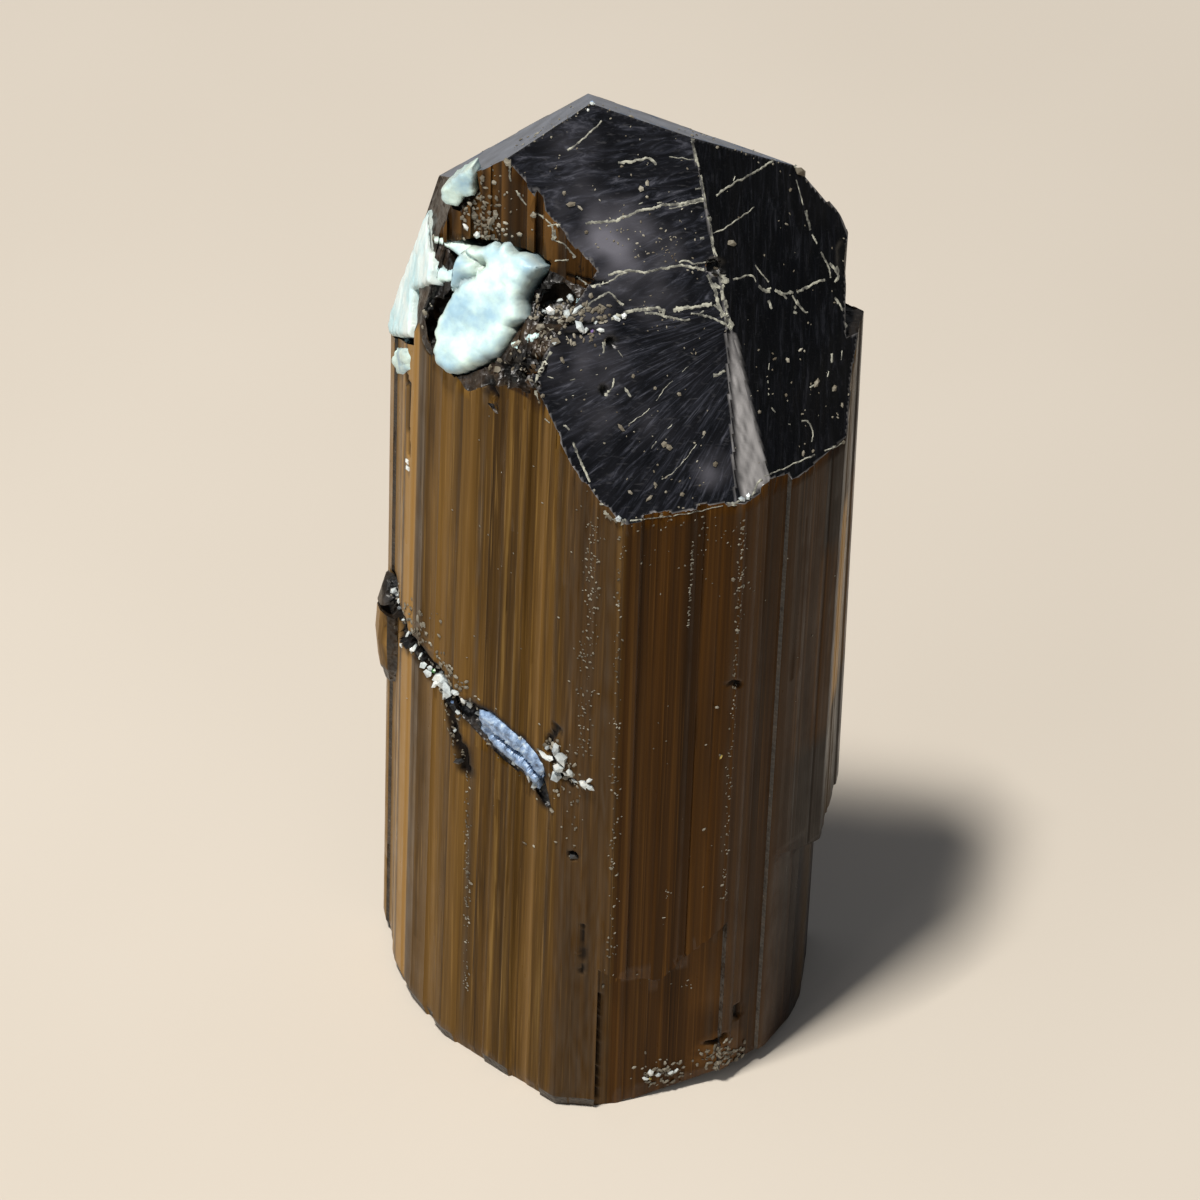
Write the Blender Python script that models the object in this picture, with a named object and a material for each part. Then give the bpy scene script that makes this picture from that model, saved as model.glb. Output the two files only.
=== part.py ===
"""Tourmaline crystal: a stout striated prism of dark tourmaline with a steep three-faced termination.

The crystal stands on its cut base, +Z up, viewer on the -Y side. Its origin is the middle of the base.
Numbers below are millimetres and degrees; MM turns them into Blender's metres. The walls narrow towards
the top, radially about the Z axis, so a groove keeps one polar angle from the base to the termination.
"""
import math
import random

import bmesh
import bpy
from mathutils import Vector, noise

MM = 0.001
GAP = 0.3               # space kept between the tourmaline and each pale piece set into it

# The prism
PRISM_TOP = 76.0        # the uncut prism; the termination faces cut it down to 70.6
TAPER_HEIGHT = 62.0     # height at which a corner has moved in by its taper share
BASE_BEVEL = 0.9
BASE_BEVEL_INSET = 0.025
LAND_WIDTH = 1.05       # mean width of a flat land between two growth steps
LAND_RELIEF = 0.2       # depth range of the growth steps
RISER = 0.07            # half the width of the step between two lands

# Corners of the three-sided cross-section, from the left edge round the front: x, y, taper share
CORNERS = [
    (-14.0, 7.4, 0.060), (-13.1, 3.0, 0.080), (-12.0, 0.4, 0.100), (-9.9, -2.6, 0.140), (-6.3, -5.4, 0.155),
    (-2.7, -8.0, 0.130), (0.5, -8.2, 0.0), (7.3, -5.9, 0.0), (10.4, -3.5, 0.0), (13.1, -0.5, 0.010),
    (14.5, 6.3, 0.050), (12.6, 7.6, 0.030), (8.2, 8.0, 0.020), (1.5, 8.2, 0.010), (-5.5, 8.2, 0.010),
    (-11.8, 8.0, 0.030),
]

# Faces that cut the prism: the azimuth its normal points to (0 is the viewer, 90 the right), slope, a point on it
TERMINATION = {
    "front_face": (19.5, 57.0, (1.36, -7.8, 50.8)),
    "right_face": (46.2, 58.9, (13.1, -0.6, 50.4)),
    "ridge_bevel": (28.0, 58.0, (6.1, -0.6, 58.75)),
    "back_left_face": (-128.0, 44.0, (-2.1, 4.6, 70.6)),
    "back_right_face": (148.0, 37.5, (-2.1, 4.6, 70.6)),
    "right_shoulder": (112.0, 50.0, (12.1, 7.4, 61.9)),
    "left_shoulder": (-85.0, 76.0, (-13.4, 7.4, 50.8)),
}

# Fractured ledge at the upper left: x, y, z along its front rim and along its foot at the set-back wall
LEDGE_RIM = [(-11.9, 1.2, 58.9), (-11.0, -0.5, 55.2), (-8.4, -2.3, 55.4), (-5.6, -4.2, 57.6), (-4.8, -4.5, 58.6)]
LEDGE_FOOT = [(-10.9, 3.7, 61.1), (-9.7, 3.2, 61.4), (-6.9, 1.9, 62.2), (-4.5, 0.9, 61.9), (-1.4, -0.5, 61.1)]
LEDGE_OVERRUN = 0.35    # share of its depth by which the ledge cut runs out past the rim
SET_BACK_STEPS = 5      # growth steps between two points of the ledge's foot
SET_BACK_RELIEF = 0.22

# Pits in the fractured ground: middle, half sizes
PITS = [
    ((-10.0, 0.8, 57.3), (0.9, 1.3, 2.1)),
    ((-3.6, -1.0, 60.5), (1.4, 1.3, 1.1)),
    ((-4.9, -4.2, 57.8), (0.9, 0.9, 0.55)),
    ((-7.2, -3.8, 54.9), (0.5, 0.7, 0.6)),
    ((5.1, 1.0, 62.0), (0.5, 0.5, 0.5)),
]

# The crack across the left side: polar angle and height of its middle line, and its half width there
CRACK_LINE = [
    (152, 29.0, 0.3), (164, 30.6, 0.45), (179, 31.6, 0.45), (191, 30.9, 0.55), (199, 29.6, 0.6), (211, 28.9, 0.9),
    (218, 28.6, 0.9), (228, 28.2, 0.9), (236, 27.4, 0.85), (243, 25.8, 0.4),
]
CRACK_DEPTH_SHARE = 1.0     # depth of the crack as a share of its half width
FILLING_REACH = (5, 9)      # the stretch of the crack that the blue-white filling takes
FILLING_MARGIN = 0.43       # the filling is this much narrower and shallower than the crack on each side

# Along these lines the wall is stepped in, above the first and below the others: x, y, height of the step's edge
UPPER_RIGHT_STEP = [(12.9, 2.6, 55.2), (12.72, 3.6, 54.9), (12.65, 6.0, 54.4), (12.7, 7.0, 54.2), (12.1, 9.0, 54.0)]
RIGHT_STEP = [
    (7.3, -5.95, 19.9), (10.0, -4.1, 19.0), (11.9, -0.4, 17.0), (12.6, 1.8, 16.2), (13.0, 5.2, 15.8), (13.1, 7.6, 15.8),
]
FRONT_CHIP = [(-0.2, -7.85, 13.0), (1.2, -7.6, 12.0), (3.4, -6.85, 11.0), (4.8, -6.4, 12.4), (7.3, -5.55, 15.0)]
STEP_REACH = 6.0        # how far the step cuts run out past the wall

# The broken edge of the base, right of the front: azimuth, slope below the horizontal, a point
BASE_CHIP = (38.0, 152.0, (8.6, -4.2, 0.9))

# The small crystal grown on the left side: middle and half sizes
SIDE_CRYSTAL = ((-13.2, 6.2, 27.6), (1.1, 1.9, 4.6))

# Pale plate on the left shoulder: thickness, and its outline along Y and Z
SHOULDER_THICKNESS = 1.0
SHOULDER_OUTLINE = [(7.1, 51.4), (6.4, 51.4), (2.2, 54.7), (2.2, 56.0), (4.6, 56.7), (5.9, 59.4), (7.1, 59.4)]

# Pale pieces set into a face: the face (azimuth, slope, point) and the outline in it, right and up the slope
BLOB_FACE = (-40.0, 58.0, (-8.4, -2.3, 55.6))
BLOB_OUTLINE = [
    (-4.7, 6.5), (-3.2, 7.4), (-1.7, 8.0), (-0.5, 8.1), (0.1, 8.3), (1.4, 8.2), (1.2, 7.3), (1.1, 6.1), (1.5, 5.1),
    (1.4, 3.8), (1.1, 2.4), (0.0, 1.1), (-1.4, -0.1), (-2.6, 0.3), (-3.0, 1.0), (-3.3, 2.2), (-3.4, 3.6), (-2.8, 5.0),
    (-3.3, 5.7),
]
CHIP_FACE = (-23.8, 90.0, (-6.4, 1.7, 68.0))
CHIP_OUTLINE = [(-4.2, -3.1), (-3.4, -1.8), (-2.4, -0.7), (-2.2, -2.5), (-3.2, -3.8), (-4.0, -3.8)]

# Faces of a block with eight corners, and the shape of a pale lump from root to top: height, share of the outline
BLOCK_FACES = [(3, 2, 1, 0), (4, 5, 6, 7), (0, 1, 5, 4), (1, 2, 6, 5), (2, 3, 7, 6), (3, 0, 4, 7)]
LUMP_PROFILE = [(-1.9, 0.45), (-1.3, 0.8), (-0.3, 1.0), (0.45, 0.94), (0.85, 0.7), (1.05, 0.35)]


def material(name, colour, roughness):
    """A plain Principled material."""
    made = bpy.data.materials.new(name)
    made.use_nodes = True
    shader = made.node_tree.nodes["Principled BSDF"]
    shader.inputs["Base Color"].default_value = (*colour, 1.0)
    shader.inputs["Roughness"].default_value = roughness
    return made


def mesh_object(name, points, faces, surface=None):
    """An object from points in millimetres; faces with more than three corners are left as they are."""
    mesh = bpy.data.meshes.new(name)
    mesh.from_pydata([Vector(point) * MM for point in points], [], faces)
    mesh.validate()
    made = bpy.data.objects.new(name, mesh)
    bpy.context.collection.objects.link(made)
    if surface:
        mesh.materials.append(surface)
    return made


def cutter(name, points, faces):
    """A helper solid that only takes part in a Boolean."""
    made = mesh_object(name, points, faces)
    made.hide_render = True
    made.display_type = "WIRE"
    return made


def boolean(target, operation, tools):
    """Cut all the tools out of the target, or join them on, in one step."""
    group = bpy.data.collections.new(f"{target.name}_{operation}")
    bpy.context.scene.collection.children.link(group)
    for tool in tools:
        group.objects.link(tool)
    step = target.modifiers.new(group.name, "BOOLEAN")
    step.operation = operation
    step.solver = "EXACT"
    step.operand_type = "COLLECTION"
    step.collection = group


def face_frame(azimuth, slope, point):
    """The face's point, its directions to the right and up the slope, and its outward normal."""
    turn = math.radians(azimuth)
    tilt = math.radians(slope)
    normal = Vector((math.sin(turn) * math.sin(tilt), -math.cos(turn) * math.sin(tilt), math.cos(tilt)))
    along = Vector((math.cos(turn), math.sin(turn), 0.0))
    return Vector(point), along, normal.cross(along), normal


def tapered(x, y, share, height):
    """A cross-section point at a height, moved towards the axis by its taper share."""
    factor = 1.0 - share * height / TAPER_HEIGHT
    return x * factor, y * factor, height


def cross_section():
    """The outline with its growth steps: each side is split into lands, set in by different depths."""
    draw = random.Random(5)
    outline = []
    for start, end in zip(CORNERS, CORNERS[1:] + CORNERS[:1]):
        ax, ay, a_share = start
        bx, by, b_share = end
        length = math.hypot(bx - ax, by - ay)
        inward = Vector((-(by - ay), bx - ax)) / length
        count = max(2, round(length / LAND_WIDTH))
        inner = [length * (k + draw.uniform(-0.3, 0.3)) / count for k in range(1, count)]
        splits = [0.0, *inner, length]
        for k in range(count):
            depth = 0.0 if k in (0, count - 1) else draw.uniform(0.0, LAND_RELIEF)
            for place in (splits[k] + RISER, splits[k + 1] - RISER):
                part = place / length
                x = ax + (bx - ax) * part + inward.x * depth
                y = ay + (by - ay) * part + inward.y * depth
                outline.append((x, y, a_share + (b_share - a_share) * part))
    return outline


def prism(name, surface):
    """The striated prism, closed by a flat base and a flat top, with a fine bevel at the base."""
    outline = cross_section()
    count = len(outline)
    points = [(x * (1 - BASE_BEVEL_INSET), y * (1 - BASE_BEVEL_INSET), 0.0) for x, y, share in outline]
    points += [tapered(x, y, share, BASE_BEVEL) for x, y, share in outline]
    points += [tapered(x, y, share, PRISM_TOP) for x, y, share in outline]
    faces = [tuple(reversed(range(count))), tuple(range(2 * count, 3 * count))]
    for ring in (0, count):
        for k in range(count):
            after = (k + 1) % count
            faces.append((ring + k, ring + after, ring + count + after, ring + count + k))
    return mesh_object(name, points, faces, surface)


def half_space(name, azimuth, slope, point, size=60.0):
    """A block whose one face lies on the given plane, filling everything outside it."""
    origin, along, up, normal = face_frame(azimuth, slope, point)
    corners = [(-1, -1), (1, -1), (1, 1), (-1, 1)]
    points = [origin + along * a * size + up * b * size for a, b in corners]
    points += [corner + normal * size for corner in points]
    return cutter(name, points, BLOCK_FACES)


def strip_block(name, near, far, low=None, high=None):
    """A block over a strip between two rows of points: up to a height, or down to one."""
    count = len(near)
    level = low if high is None else high
    rows = [near, far, [(x, y, level) for x, y, z in near], [(x, y, level) for x, y, z in far]]
    points = [point for row in rows for point in row]
    faces = []
    for k in range(count - 1):
        a, b, c, d = k, k + 1, count + k + 1, count + k
        faces += [(a, b, d), (b, c, d)]
        top = 2 * count
        faces.append((a + top, d + top, c + top, b + top))
        faces.append((a, a + top, b + top, b))
        faces.append((d, c, c + top, d + top))
    for a, b in ((0, count), (2 * count - 1, count - 1)):
        faces.append((a, b, b + 2 * count, a + 2 * count))
    made = cutter(name, points, faces)
    face_outward(made)
    return made


def face_outward(made):
    """Turn the faces of a closed helper outward, whichever way its rows ran."""
    work = bmesh.new()
    work.from_mesh(made.data)
    bmesh.ops.recalc_face_normals(work, faces=work.faces)
    if work.calc_volume(signed=True) < 0:
        bmesh.ops.reverse_faces(work, faces=work.faces)
    work.to_mesh(made.data)
    work.free()


def ledge_block():
    """Everything above the fractured ledge and in front of the set-back wall with its growth steps."""
    draw = random.Random(8)
    rim = []
    foot = []
    for k in range(len(LEDGE_FOOT) - 1):
        for step in range(SET_BACK_STEPS):
            part = step / SET_BACK_STEPS
            depth = draw.uniform(-SET_BACK_RELIEF, SET_BACK_RELIEF) if k + step else 0.0
            for place in (part + 0.02, part + 1 / SET_BACK_STEPS - 0.02):
                here = Vector(LEDGE_FOOT[k]).lerp(Vector(LEDGE_FOOT[k + 1]), place)
                front = Vector(LEDGE_RIM[k]).lerp(Vector(LEDGE_RIM[k + 1]), place)
                rim.append(tuple(front + (front - here) * LEDGE_OVERRUN))
                foot.append((here.x, here.y + depth, here.z))
    return strip_block("ledge_cut", rim, foot, high=PRISM_TOP + 4)


def step_block(name, line, low=None, high=None):
    """Everything outside a stepped-in stretch of wall, from the step's edge down to a level or up to one."""
    outer = []
    for x, y, z in line:
        factor = 1 + STEP_REACH / math.hypot(x, y)
        outer.append((x * factor, y * factor, z))
    return strip_block(name, line, outer, low, high)


def lump(name, middle, half_sizes, rings=6, segments=10, surface=None, roughness=0.12, seed=1):
    """A rough rounded lump with an axis along Z."""
    points = [(0.0, 0.0, -1.0)]
    for ring in range(1, rings):
        polar = math.pi * ring / rings
        for k in range(segments):
            turn = math.tau * k / segments
            across = math.sin(polar)
            points.append((across * math.cos(turn), across * math.sin(turn), -math.cos(polar)))
    points.append((0.0, 0.0, 1.0))
    faces = []
    last = len(points) - 1
    for k in range(segments):
        after = (k + 1) % segments
        faces.append((0, 1 + after, 1 + k))
        faces.append((last, last - segments + k, last - segments + after))
        for ring in range(rings - 2):
            low = 1 + ring * segments
            faces.append((low + k, low + after, low + segments + after, low + segments + k))
    rough = []
    for point in points:
        swell = 1.0 + roughness * noise.noise(Vector(point) * 1.7 + Vector((seed * 3.1, 0, 0)))
        rough.append(Vector([middle[i] + half_sizes[i] * point[i] * swell for i in range(3)]))
    if surface:
        return mesh_object(name, rough, faces, surface)
    return cutter(name, rough, faces)


def wall_point(angle, height):
    """The point of the smooth wall at a polar angle and a height."""
    turn = math.radians(angle)
    ray = Vector((math.cos(turn), math.sin(turn)))
    for start, end in zip(CORNERS, CORNERS[1:] + CORNERS[:1]):
        a = Vector(start[:2])
        b = Vector(end[:2])
        side = b - a
        spread = ray.x * side.y - ray.y * side.x
        reach = (a.x * side.y - a.y * side.x) / spread
        part = (a.x * ray.y - a.y * ray.x) / spread
        if reach > 0 and -1e-6 <= part <= 1 + 1e-6:
            share = start[2] + (end[2] - start[2]) * part
            x, y = ray * reach
            return Vector(tapered(x, y, share, height))
    raise ValueError("no wall at this angle")


def crack_wedge(name, line, margin, proud, surface=None):
    """A four-sided wedge along the crack, with a sharp root; the margin makes it narrower and shallower."""
    centres = [wall_point(angle, height) for angle, height, width in line]
    points = []
    for k, here in enumerate(centres):
        before = centres[max(k - 1, 0)]
        after = centres[min(k + 1, len(centres) - 1)]
        outward = Vector((here.x, here.y, 0)).normalized()
        across = (after - before).cross(outward).normalized()
        width = line[k][2] - margin
        points += [here - outward * width * CRACK_DEPTH_SHARE, here + across * width]
        points += [here + outward * proud, here - across * width]
    faces = [(3, 2, 1, 0), tuple(range(len(points) - 4, len(points)))]
    for k in range(len(centres) - 1):
        for side in range(4):
            a = 4 * k + side
            b = 4 * k + (side + 1) % 4
            faces.append((a, b, b + 4, a + 4))
    made = mesh_object(name, points, faces, surface) if surface else cutter(name, points, faces)
    face_outward(made)
    return made


def swollen(outline, grow):
    """An outline with its corners pushed out along their own bisectors."""
    middle = Vector((sum(a for a, b in outline), sum(b for a, b in outline))) / len(outline)
    pushed = []
    for k, corner in enumerate(outline):
        chord = Vector(outline[(k + 1) % len(outline)]) - Vector(outline[k - 1])
        side = Vector((chord.y, -chord.x)).normalized()
        if side.dot(Vector(corner) - middle) < 0:
            side = -side
        pushed.append(Vector(corner) + side * grow)
    return pushed


def inset_lump(name, face, outline, surface=None, thickness=1.0, grow=0.0, seed=1):
    """A pale lump with the given outline, half sunk in a face; grow swells it into the cutter of its pocket."""
    origin, along, up, normal = face_frame(*face)
    middle = Vector((sum(a for a, b in outline), sum(b for a, b in outline))) / len(outline)
    points = []
    for level, (height, share) in enumerate(LUMP_PROFILE):
        for corner, pushed in zip(outline, swollen(outline, grow)):
            flat = middle + (Vector(corner) - middle) * share + (pushed - Vector(corner))
            rough = 0.18 * noise.noise(Vector((flat.x, flat.y, level + seed * 5.0)) * 0.9) * thickness
            swell = grow if height > 0 else -grow
            points.append(origin + along * flat.x + up * flat.y + normal * (height * thickness + rough + swell))
    count = len(outline)
    faces = [tuple(reversed(range(count))), tuple(range(len(points) - count, len(points)))]
    for level in range(len(LUMP_PROFILE) - 1):
        for k in range(count):
            a = level * count + k
            b = level * count + (k + 1) % count
            faces.append((a, b, b + count, a + count))
    made = mesh_object(name, points, faces, surface) if surface else cutter(name, points, faces)
    face_outward(made)
    return made


def shoulder_plate(name, inner, outer, margin, surface=None):
    """A plate between two depths under the left shoulder face."""
    origin, along, up, normal = face_frame(*TERMINATION["left_shoulder"])
    points = []
    for depth in (inner, outer):
        level = origin.dot(normal) - depth
        for y, z in swollen(SHOULDER_OUTLINE, margin):
            points.append(((level - normal.y * y - normal.z * z) / normal.x, y, z))
    count = len(SHOULDER_OUTLINE)
    faces = [tuple(range(count)), tuple(reversed(range(count, 2 * count)))]
    faces += [(k, (k + 1) % count, (k + 1) % count + count, k + count) for k in range(count)]
    made = mesh_object(name, points, faces, surface) if surface else cutter(name, points, faces)
    face_outward(made)
    return made


def build():
    """Model every piece."""
    for old in list(bpy.data.objects):
        bpy.data.objects.remove(old)
    tourmaline = material("tourmaline", (0.035, 0.022, 0.012), 0.3)
    feldspar = material("feldspar", (0.62, 0.78, 0.78), 0.5)
    filling = material("crack_filling", (0.35, 0.45, 0.6), 0.35)

    crystal = prism("tourmaline_crystal", tourmaline)
    boolean(crystal, "UNION", [lump("side_crystal", *SIDE_CRYSTAL, roughness=0.0)])
    cuts = [half_space(name, *plane) for name, plane in TERMINATION.items()]
    cuts.append(ledge_block())
    cuts.append(step_block("upper_right_step_cut", UPPER_RIGHT_STEP, high=PRISM_TOP + 4))
    cuts.append(step_block("right_step_cut", RIGHT_STEP, low=-2.0))
    cuts.append(step_block("front_chip_cut", FRONT_CHIP, low=-2.0))
    cuts.append(half_space("base_chip_cut", *BASE_CHIP))
    cuts.append(crack_wedge("crack_cut", CRACK_LINE, 0.0, 1.5))
    for k, (middle, half_sizes) in enumerate(PITS):
        cuts.append(lump(f"pit_cut_{k + 1}", middle, half_sizes, roughness=0.5, seed=k))

    # Each pale piece lies in a pocket that is wider than it all round by the gap
    filled = CRACK_LINE[FILLING_REACH[0]:FILLING_REACH[1]]
    crack_wedge("crack_filling", filled, FILLING_MARGIN, 0.12, filling)
    cuts.append(shoulder_plate("shoulder_pocket", SHOULDER_THICKNESS + GAP, -3.0, GAP))
    shoulder_plate("feldspar_shoulder", SHOULDER_THICKNESS, 0.0, 0.0, feldspar)
    for name, face, outline, thickness in (
        ("feldspar_blob", BLOB_FACE, BLOB_OUTLINE, 1.0),
        ("feldspar_chip", CHIP_FACE, CHIP_OUTLINE, 0.45),
    ):
        inset_lump(name, face, outline, feldspar, thickness)
        cuts.append(inset_lump(name + "_pocket", face, outline, None, thickness, GAP))
    boolean(crystal, "DIFFERENCE", cuts)


build()
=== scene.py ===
"""Looks of the tourmaline crystal: its striated walls, black end faces, veins, pale mineral and dust.

Sizes and places are millimetres and degrees unless a name says otherwise; MM turns them into metres.
A pixel is a place in the 1200 x 1200 frame of the camera below; it is always cast onto the surface that
carries the feature, so what it places lies on the crystal from every side.
"""
import math
import random
from bisect import bisect_left

import bmesh
import bpy
import numpy as np
from mathutils import Matrix, Vector, noise
from mathutils.bvhtree import BVHTree


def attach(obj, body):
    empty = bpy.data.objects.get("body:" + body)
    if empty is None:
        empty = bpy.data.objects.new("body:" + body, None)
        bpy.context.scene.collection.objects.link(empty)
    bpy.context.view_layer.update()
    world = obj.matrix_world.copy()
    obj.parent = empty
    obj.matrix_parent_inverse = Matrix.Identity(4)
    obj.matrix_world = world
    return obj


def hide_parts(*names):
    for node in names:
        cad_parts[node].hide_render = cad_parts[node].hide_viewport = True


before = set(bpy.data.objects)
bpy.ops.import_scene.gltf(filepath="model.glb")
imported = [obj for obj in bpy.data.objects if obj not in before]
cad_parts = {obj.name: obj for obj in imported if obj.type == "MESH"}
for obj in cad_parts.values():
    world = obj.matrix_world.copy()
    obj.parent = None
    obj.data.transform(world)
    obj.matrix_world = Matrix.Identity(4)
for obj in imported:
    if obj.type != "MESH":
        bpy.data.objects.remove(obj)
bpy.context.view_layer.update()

MM = 0.001

# Camera
PICTURE = 1200
SENSOR = 36.0
LENS = 180.0
CAMERA_PLACE = (-0.76, -248.86, 285.35)
CAMERA_TILT = 45.0
CAMERA_ROLL = 1.7

# Faces of the termination, as azimuth of the normal (0 is the viewer, 90 the right), slope, a point
FRONT_FACE = (19.5, 57.0, (1.36, -7.8, 50.8))
RIGHT_FACE = (46.2, 58.9, (13.1, -0.6, 50.4))
RIDGE_BEVEL = (28.0, 58.0, (6.1, -0.6, 58.75))
BACK_LEFT_FACE = (-128.0, 44.0, (-2.1, 4.6, 70.6))
BACK_RIGHT_FACE = (148.0, 37.5, (-2.1, 4.6, 70.6))
RIGHT_SHOULDER = (112.0, 50.0, (12.1, 7.4, 61.9))
LEFT_SHOULDER = (-85.0, 76.0, (-13.4, 7.4, 50.8))
LEDGE_FACE = (-40.0, 58.0, (-8.4, -2.3, 55.6))
SET_BACK_WALL = (-23.8, 90.0, (-6.4, 1.7, 68.0))

# Striations of the walls
SEEN_ANGLES = (-210.0, 25.0)        # polar angles of the walls that the camera sees
STRIA_ANGLES = (-268.0, 88.0)       # polar angles where the striations begin and end, beside the seam
STRIA_WIDTH = 0.21                  # mean width of a striation on the seen walls
BACK_STRIA_WIDTH = 0.5
STRIA_SPREAD = 0.45                 # spread of the logarithm of the widths
WALL_REACH = 10.5                   # mean distance of the seen walls from the axis
BACK_WALL_REACH = 9.0
STRIA_DEPTH = 0.055
WALL_TOP = 72.0
LEVEL_STEP = 1.6                    # height between two rows of points on the walls

# Cells and relief of the other faces
FACE_CELL = 0.17                    # cell of the end faces that the camera sees
BACK_CELL = 0.6
FRACTURE_CELL = 0.26
FIBRE_RELIEF = 0.03
FRACTURE_RELIEF = 0.16


def axes_of(face):
    """A face's point, its directions to the right and up the slope, and its outward normal."""
    turn = math.radians(face[0])
    tilt = math.radians(face[1])
    normal = Vector((math.sin(turn) * math.sin(tilt), -math.cos(turn) * math.sin(tilt), math.cos(tilt)))
    along = Vector((math.cos(turn), math.sin(turn), 0.0))
    return Vector(face[2]), along, normal.cross(along), normal


def camera_matrix():
    """The camera's place and directions, in millimetres."""
    tilt = Matrix.Rotation(math.radians(CAMERA_TILT), 4, "X")
    roll = Matrix.Rotation(math.radians(CAMERA_ROLL), 4, "Z")
    return Matrix.Translation(CAMERA_PLACE) @ (tilt @ roll)


CAMERA = camera_matrix()
CAMERA_INVERSE = CAMERA.inverted()


def pixel_ray(pixel):
    """Start and direction of the line of sight through a pixel."""
    scale = SENSOR / LENS / PICTURE
    across = (pixel[0] - PICTURE / 2) * scale
    up = (PICTURE / 2 - pixel[1]) * scale
    return CAMERA.translation, (CAMERA.to_3x3() @ Vector((across, up, -1.0))).normalized()


def wave(x, y, z):
    """Smooth noise at a place, between about -1 and 1."""
    return noise.noise(Vector((x, y, z)))


def on_face(pixel, face):
    """The point of a face's plane that a pixel shows."""
    origin, along, up, normal = axes_of(face)
    start, direction = pixel_ray(pixel)
    return start + direction * (normal.dot(origin - start) / normal.dot(direction))


def in_face(pixel, face):
    """The same point as distances to the right and up the slope from the face's own point."""
    origin, along, up, normal = axes_of(face)
    offset = on_face(pixel, face) - origin
    return offset.dot(along), offset.dot(up)


# Materials

class Surface:
    """A Principled material that is built up node by node."""

    def __init__(self, name, roughness, specular=0.5, **constants):
        self.material = bpy.data.materials.new(name)
        self.material.use_nodes = True
        self.tree = self.material.node_tree
        self.shader = self.tree.nodes["Principled BSDF"]
        self.shader.inputs["Roughness"].default_value = roughness
        self.shader.inputs["Specular IOR Level"].default_value = specular
        for key, value in constants.items():
            self.shader.inputs[key.replace("_", " ")].default_value = value

    def link(self, output, socket):
        """Join an output to an input."""
        self.tree.links.new(output, socket)

    def position(self, stretch, turn=(0.0, 0.0, 0.0)):
        """Place on the object in millimetres, turned and then stretched."""
        place = self.tree.nodes.new("ShaderNodeTexCoord")
        mapping = self.tree.nodes.new("ShaderNodeMapping")
        mapping.inputs["Rotation"].default_value = [math.radians(angle) for angle in turn]
        mapping.inputs["Scale"].default_value = [1000 * share for share in stretch]
        self.link(place.outputs["Object"], mapping.inputs["Vector"])
        return mapping.outputs["Vector"]

    def noise(self, vector, detail, roughness, distortion=0.0):
        """Fractal noise between 0 and 1."""
        made = self.tree.nodes.new("ShaderNodeTexNoise")
        made.inputs["Scale"].default_value = 1.0
        made.inputs["Detail"].default_value = detail
        made.inputs["Roughness"].default_value = roughness
        made.inputs["Distortion"].default_value = distortion
        self.link(vector, made.inputs["Vector"])
        return made.outputs["Fac"]

    def cloud(self, fineness, detail, roughness):
        """Fractal noise that is alike in all directions; its lumps are one over the fineness wide."""
        return self.noise(self.position((fineness, fineness, fineness)), detail, roughness)

    def cells(self, fineness):
        """Distance to the nearest point of a scattered cloud."""
        place = self.position((fineness, fineness, fineness))
        made = self.tree.nodes.new("ShaderNodeTexVoronoi")
        made.inputs["Scale"].default_value = 1.0
        self.link(place, made.inputs["Vector"])
        return made.outputs["Distance"]

    def ramp(self, factor, stops):
        """Colours along a factor: (place, colour) stops, a colour being one number or three."""
        made = self.tree.nodes.new("ShaderNodeValToRGB")
        band = made.color_ramp
        while len(band.elements) < len(stops):
            band.elements.new(0.5)
        for element, (place, colour) in zip(band.elements, stops):
            element.position = place
            shades = (colour, colour, colour) if isinstance(colour, (int, float)) else colour
            element.color = (*shades, 1.0)
        self.link(factor, made.inputs["Fac"])
        return made.outputs["Color"]

    def mix(self, factor, low, high, blend="MIX"):
        """Two colours mixed by a factor; a factor or colour may be an output or a value."""
        made = self.tree.nodes.new("ShaderNodeMix")
        made.data_type = "RGBA"
        made.blend_type = blend
        made.clamp_factor = True
        sockets = [made.inputs[0], made.inputs[6], made.inputs[7]]
        for value, socket in zip((factor, low, high), sockets):
            if isinstance(value, bpy.types.NodeSocket):
                self.link(value, socket)
            elif isinstance(value, (int, float)):
                socket.default_value = value
            else:
                socket.default_value = (*value, 1.0)
        return made.outputs[2]

    def grain(self, across, along):
        """Place across and along the fibres of an end face, from numbers stored on the mesh's points."""
        made = self.tree.nodes.new("ShaderNodeCombineXYZ")
        self.link(self.math("MULTIPLY", self.attribute("across"), across), made.inputs["X"])
        self.link(self.math("MULTIPLY", self.attribute("along"), along), made.inputs["Y"])
        return made.outputs["Vector"]

    def math(self, operation, first, second=0.0):
        """A sum, product or the like of two numbers or outputs."""
        made = self.tree.nodes.new("ShaderNodeMath")
        made.operation = operation
        for value, socket in zip((first, second), made.inputs):
            if isinstance(value, bpy.types.NodeSocket):
                self.link(value, socket)
            else:
                socket.default_value = value
        return made.outputs["Value"]

    def attribute(self, name):
        """A number stored on the mesh's points."""
        made = self.tree.nodes.new("ShaderNodeAttribute")
        made.attribute_name = name
        return made.outputs["Fac"]

    def colour(self, output):
        """Use an output as the base colour."""
        self.link(output, self.shader.inputs["Base Color"])

    def roughness(self, output):
        """Use an output as the roughness."""
        self.link(output, self.shader.inputs["Roughness"])

    def bump(self, height, depth, strength):
        """Fine relief; depth is in millimetres."""
        made = self.tree.nodes.new("ShaderNodeBump")
        made.inputs["Strength"].default_value = strength
        made.inputs["Distance"].default_value = depth * MM
        self.link(height, made.inputs["Height"])
        self.link(made.outputs["Normal"], self.shader.inputs["Normal"])


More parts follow.
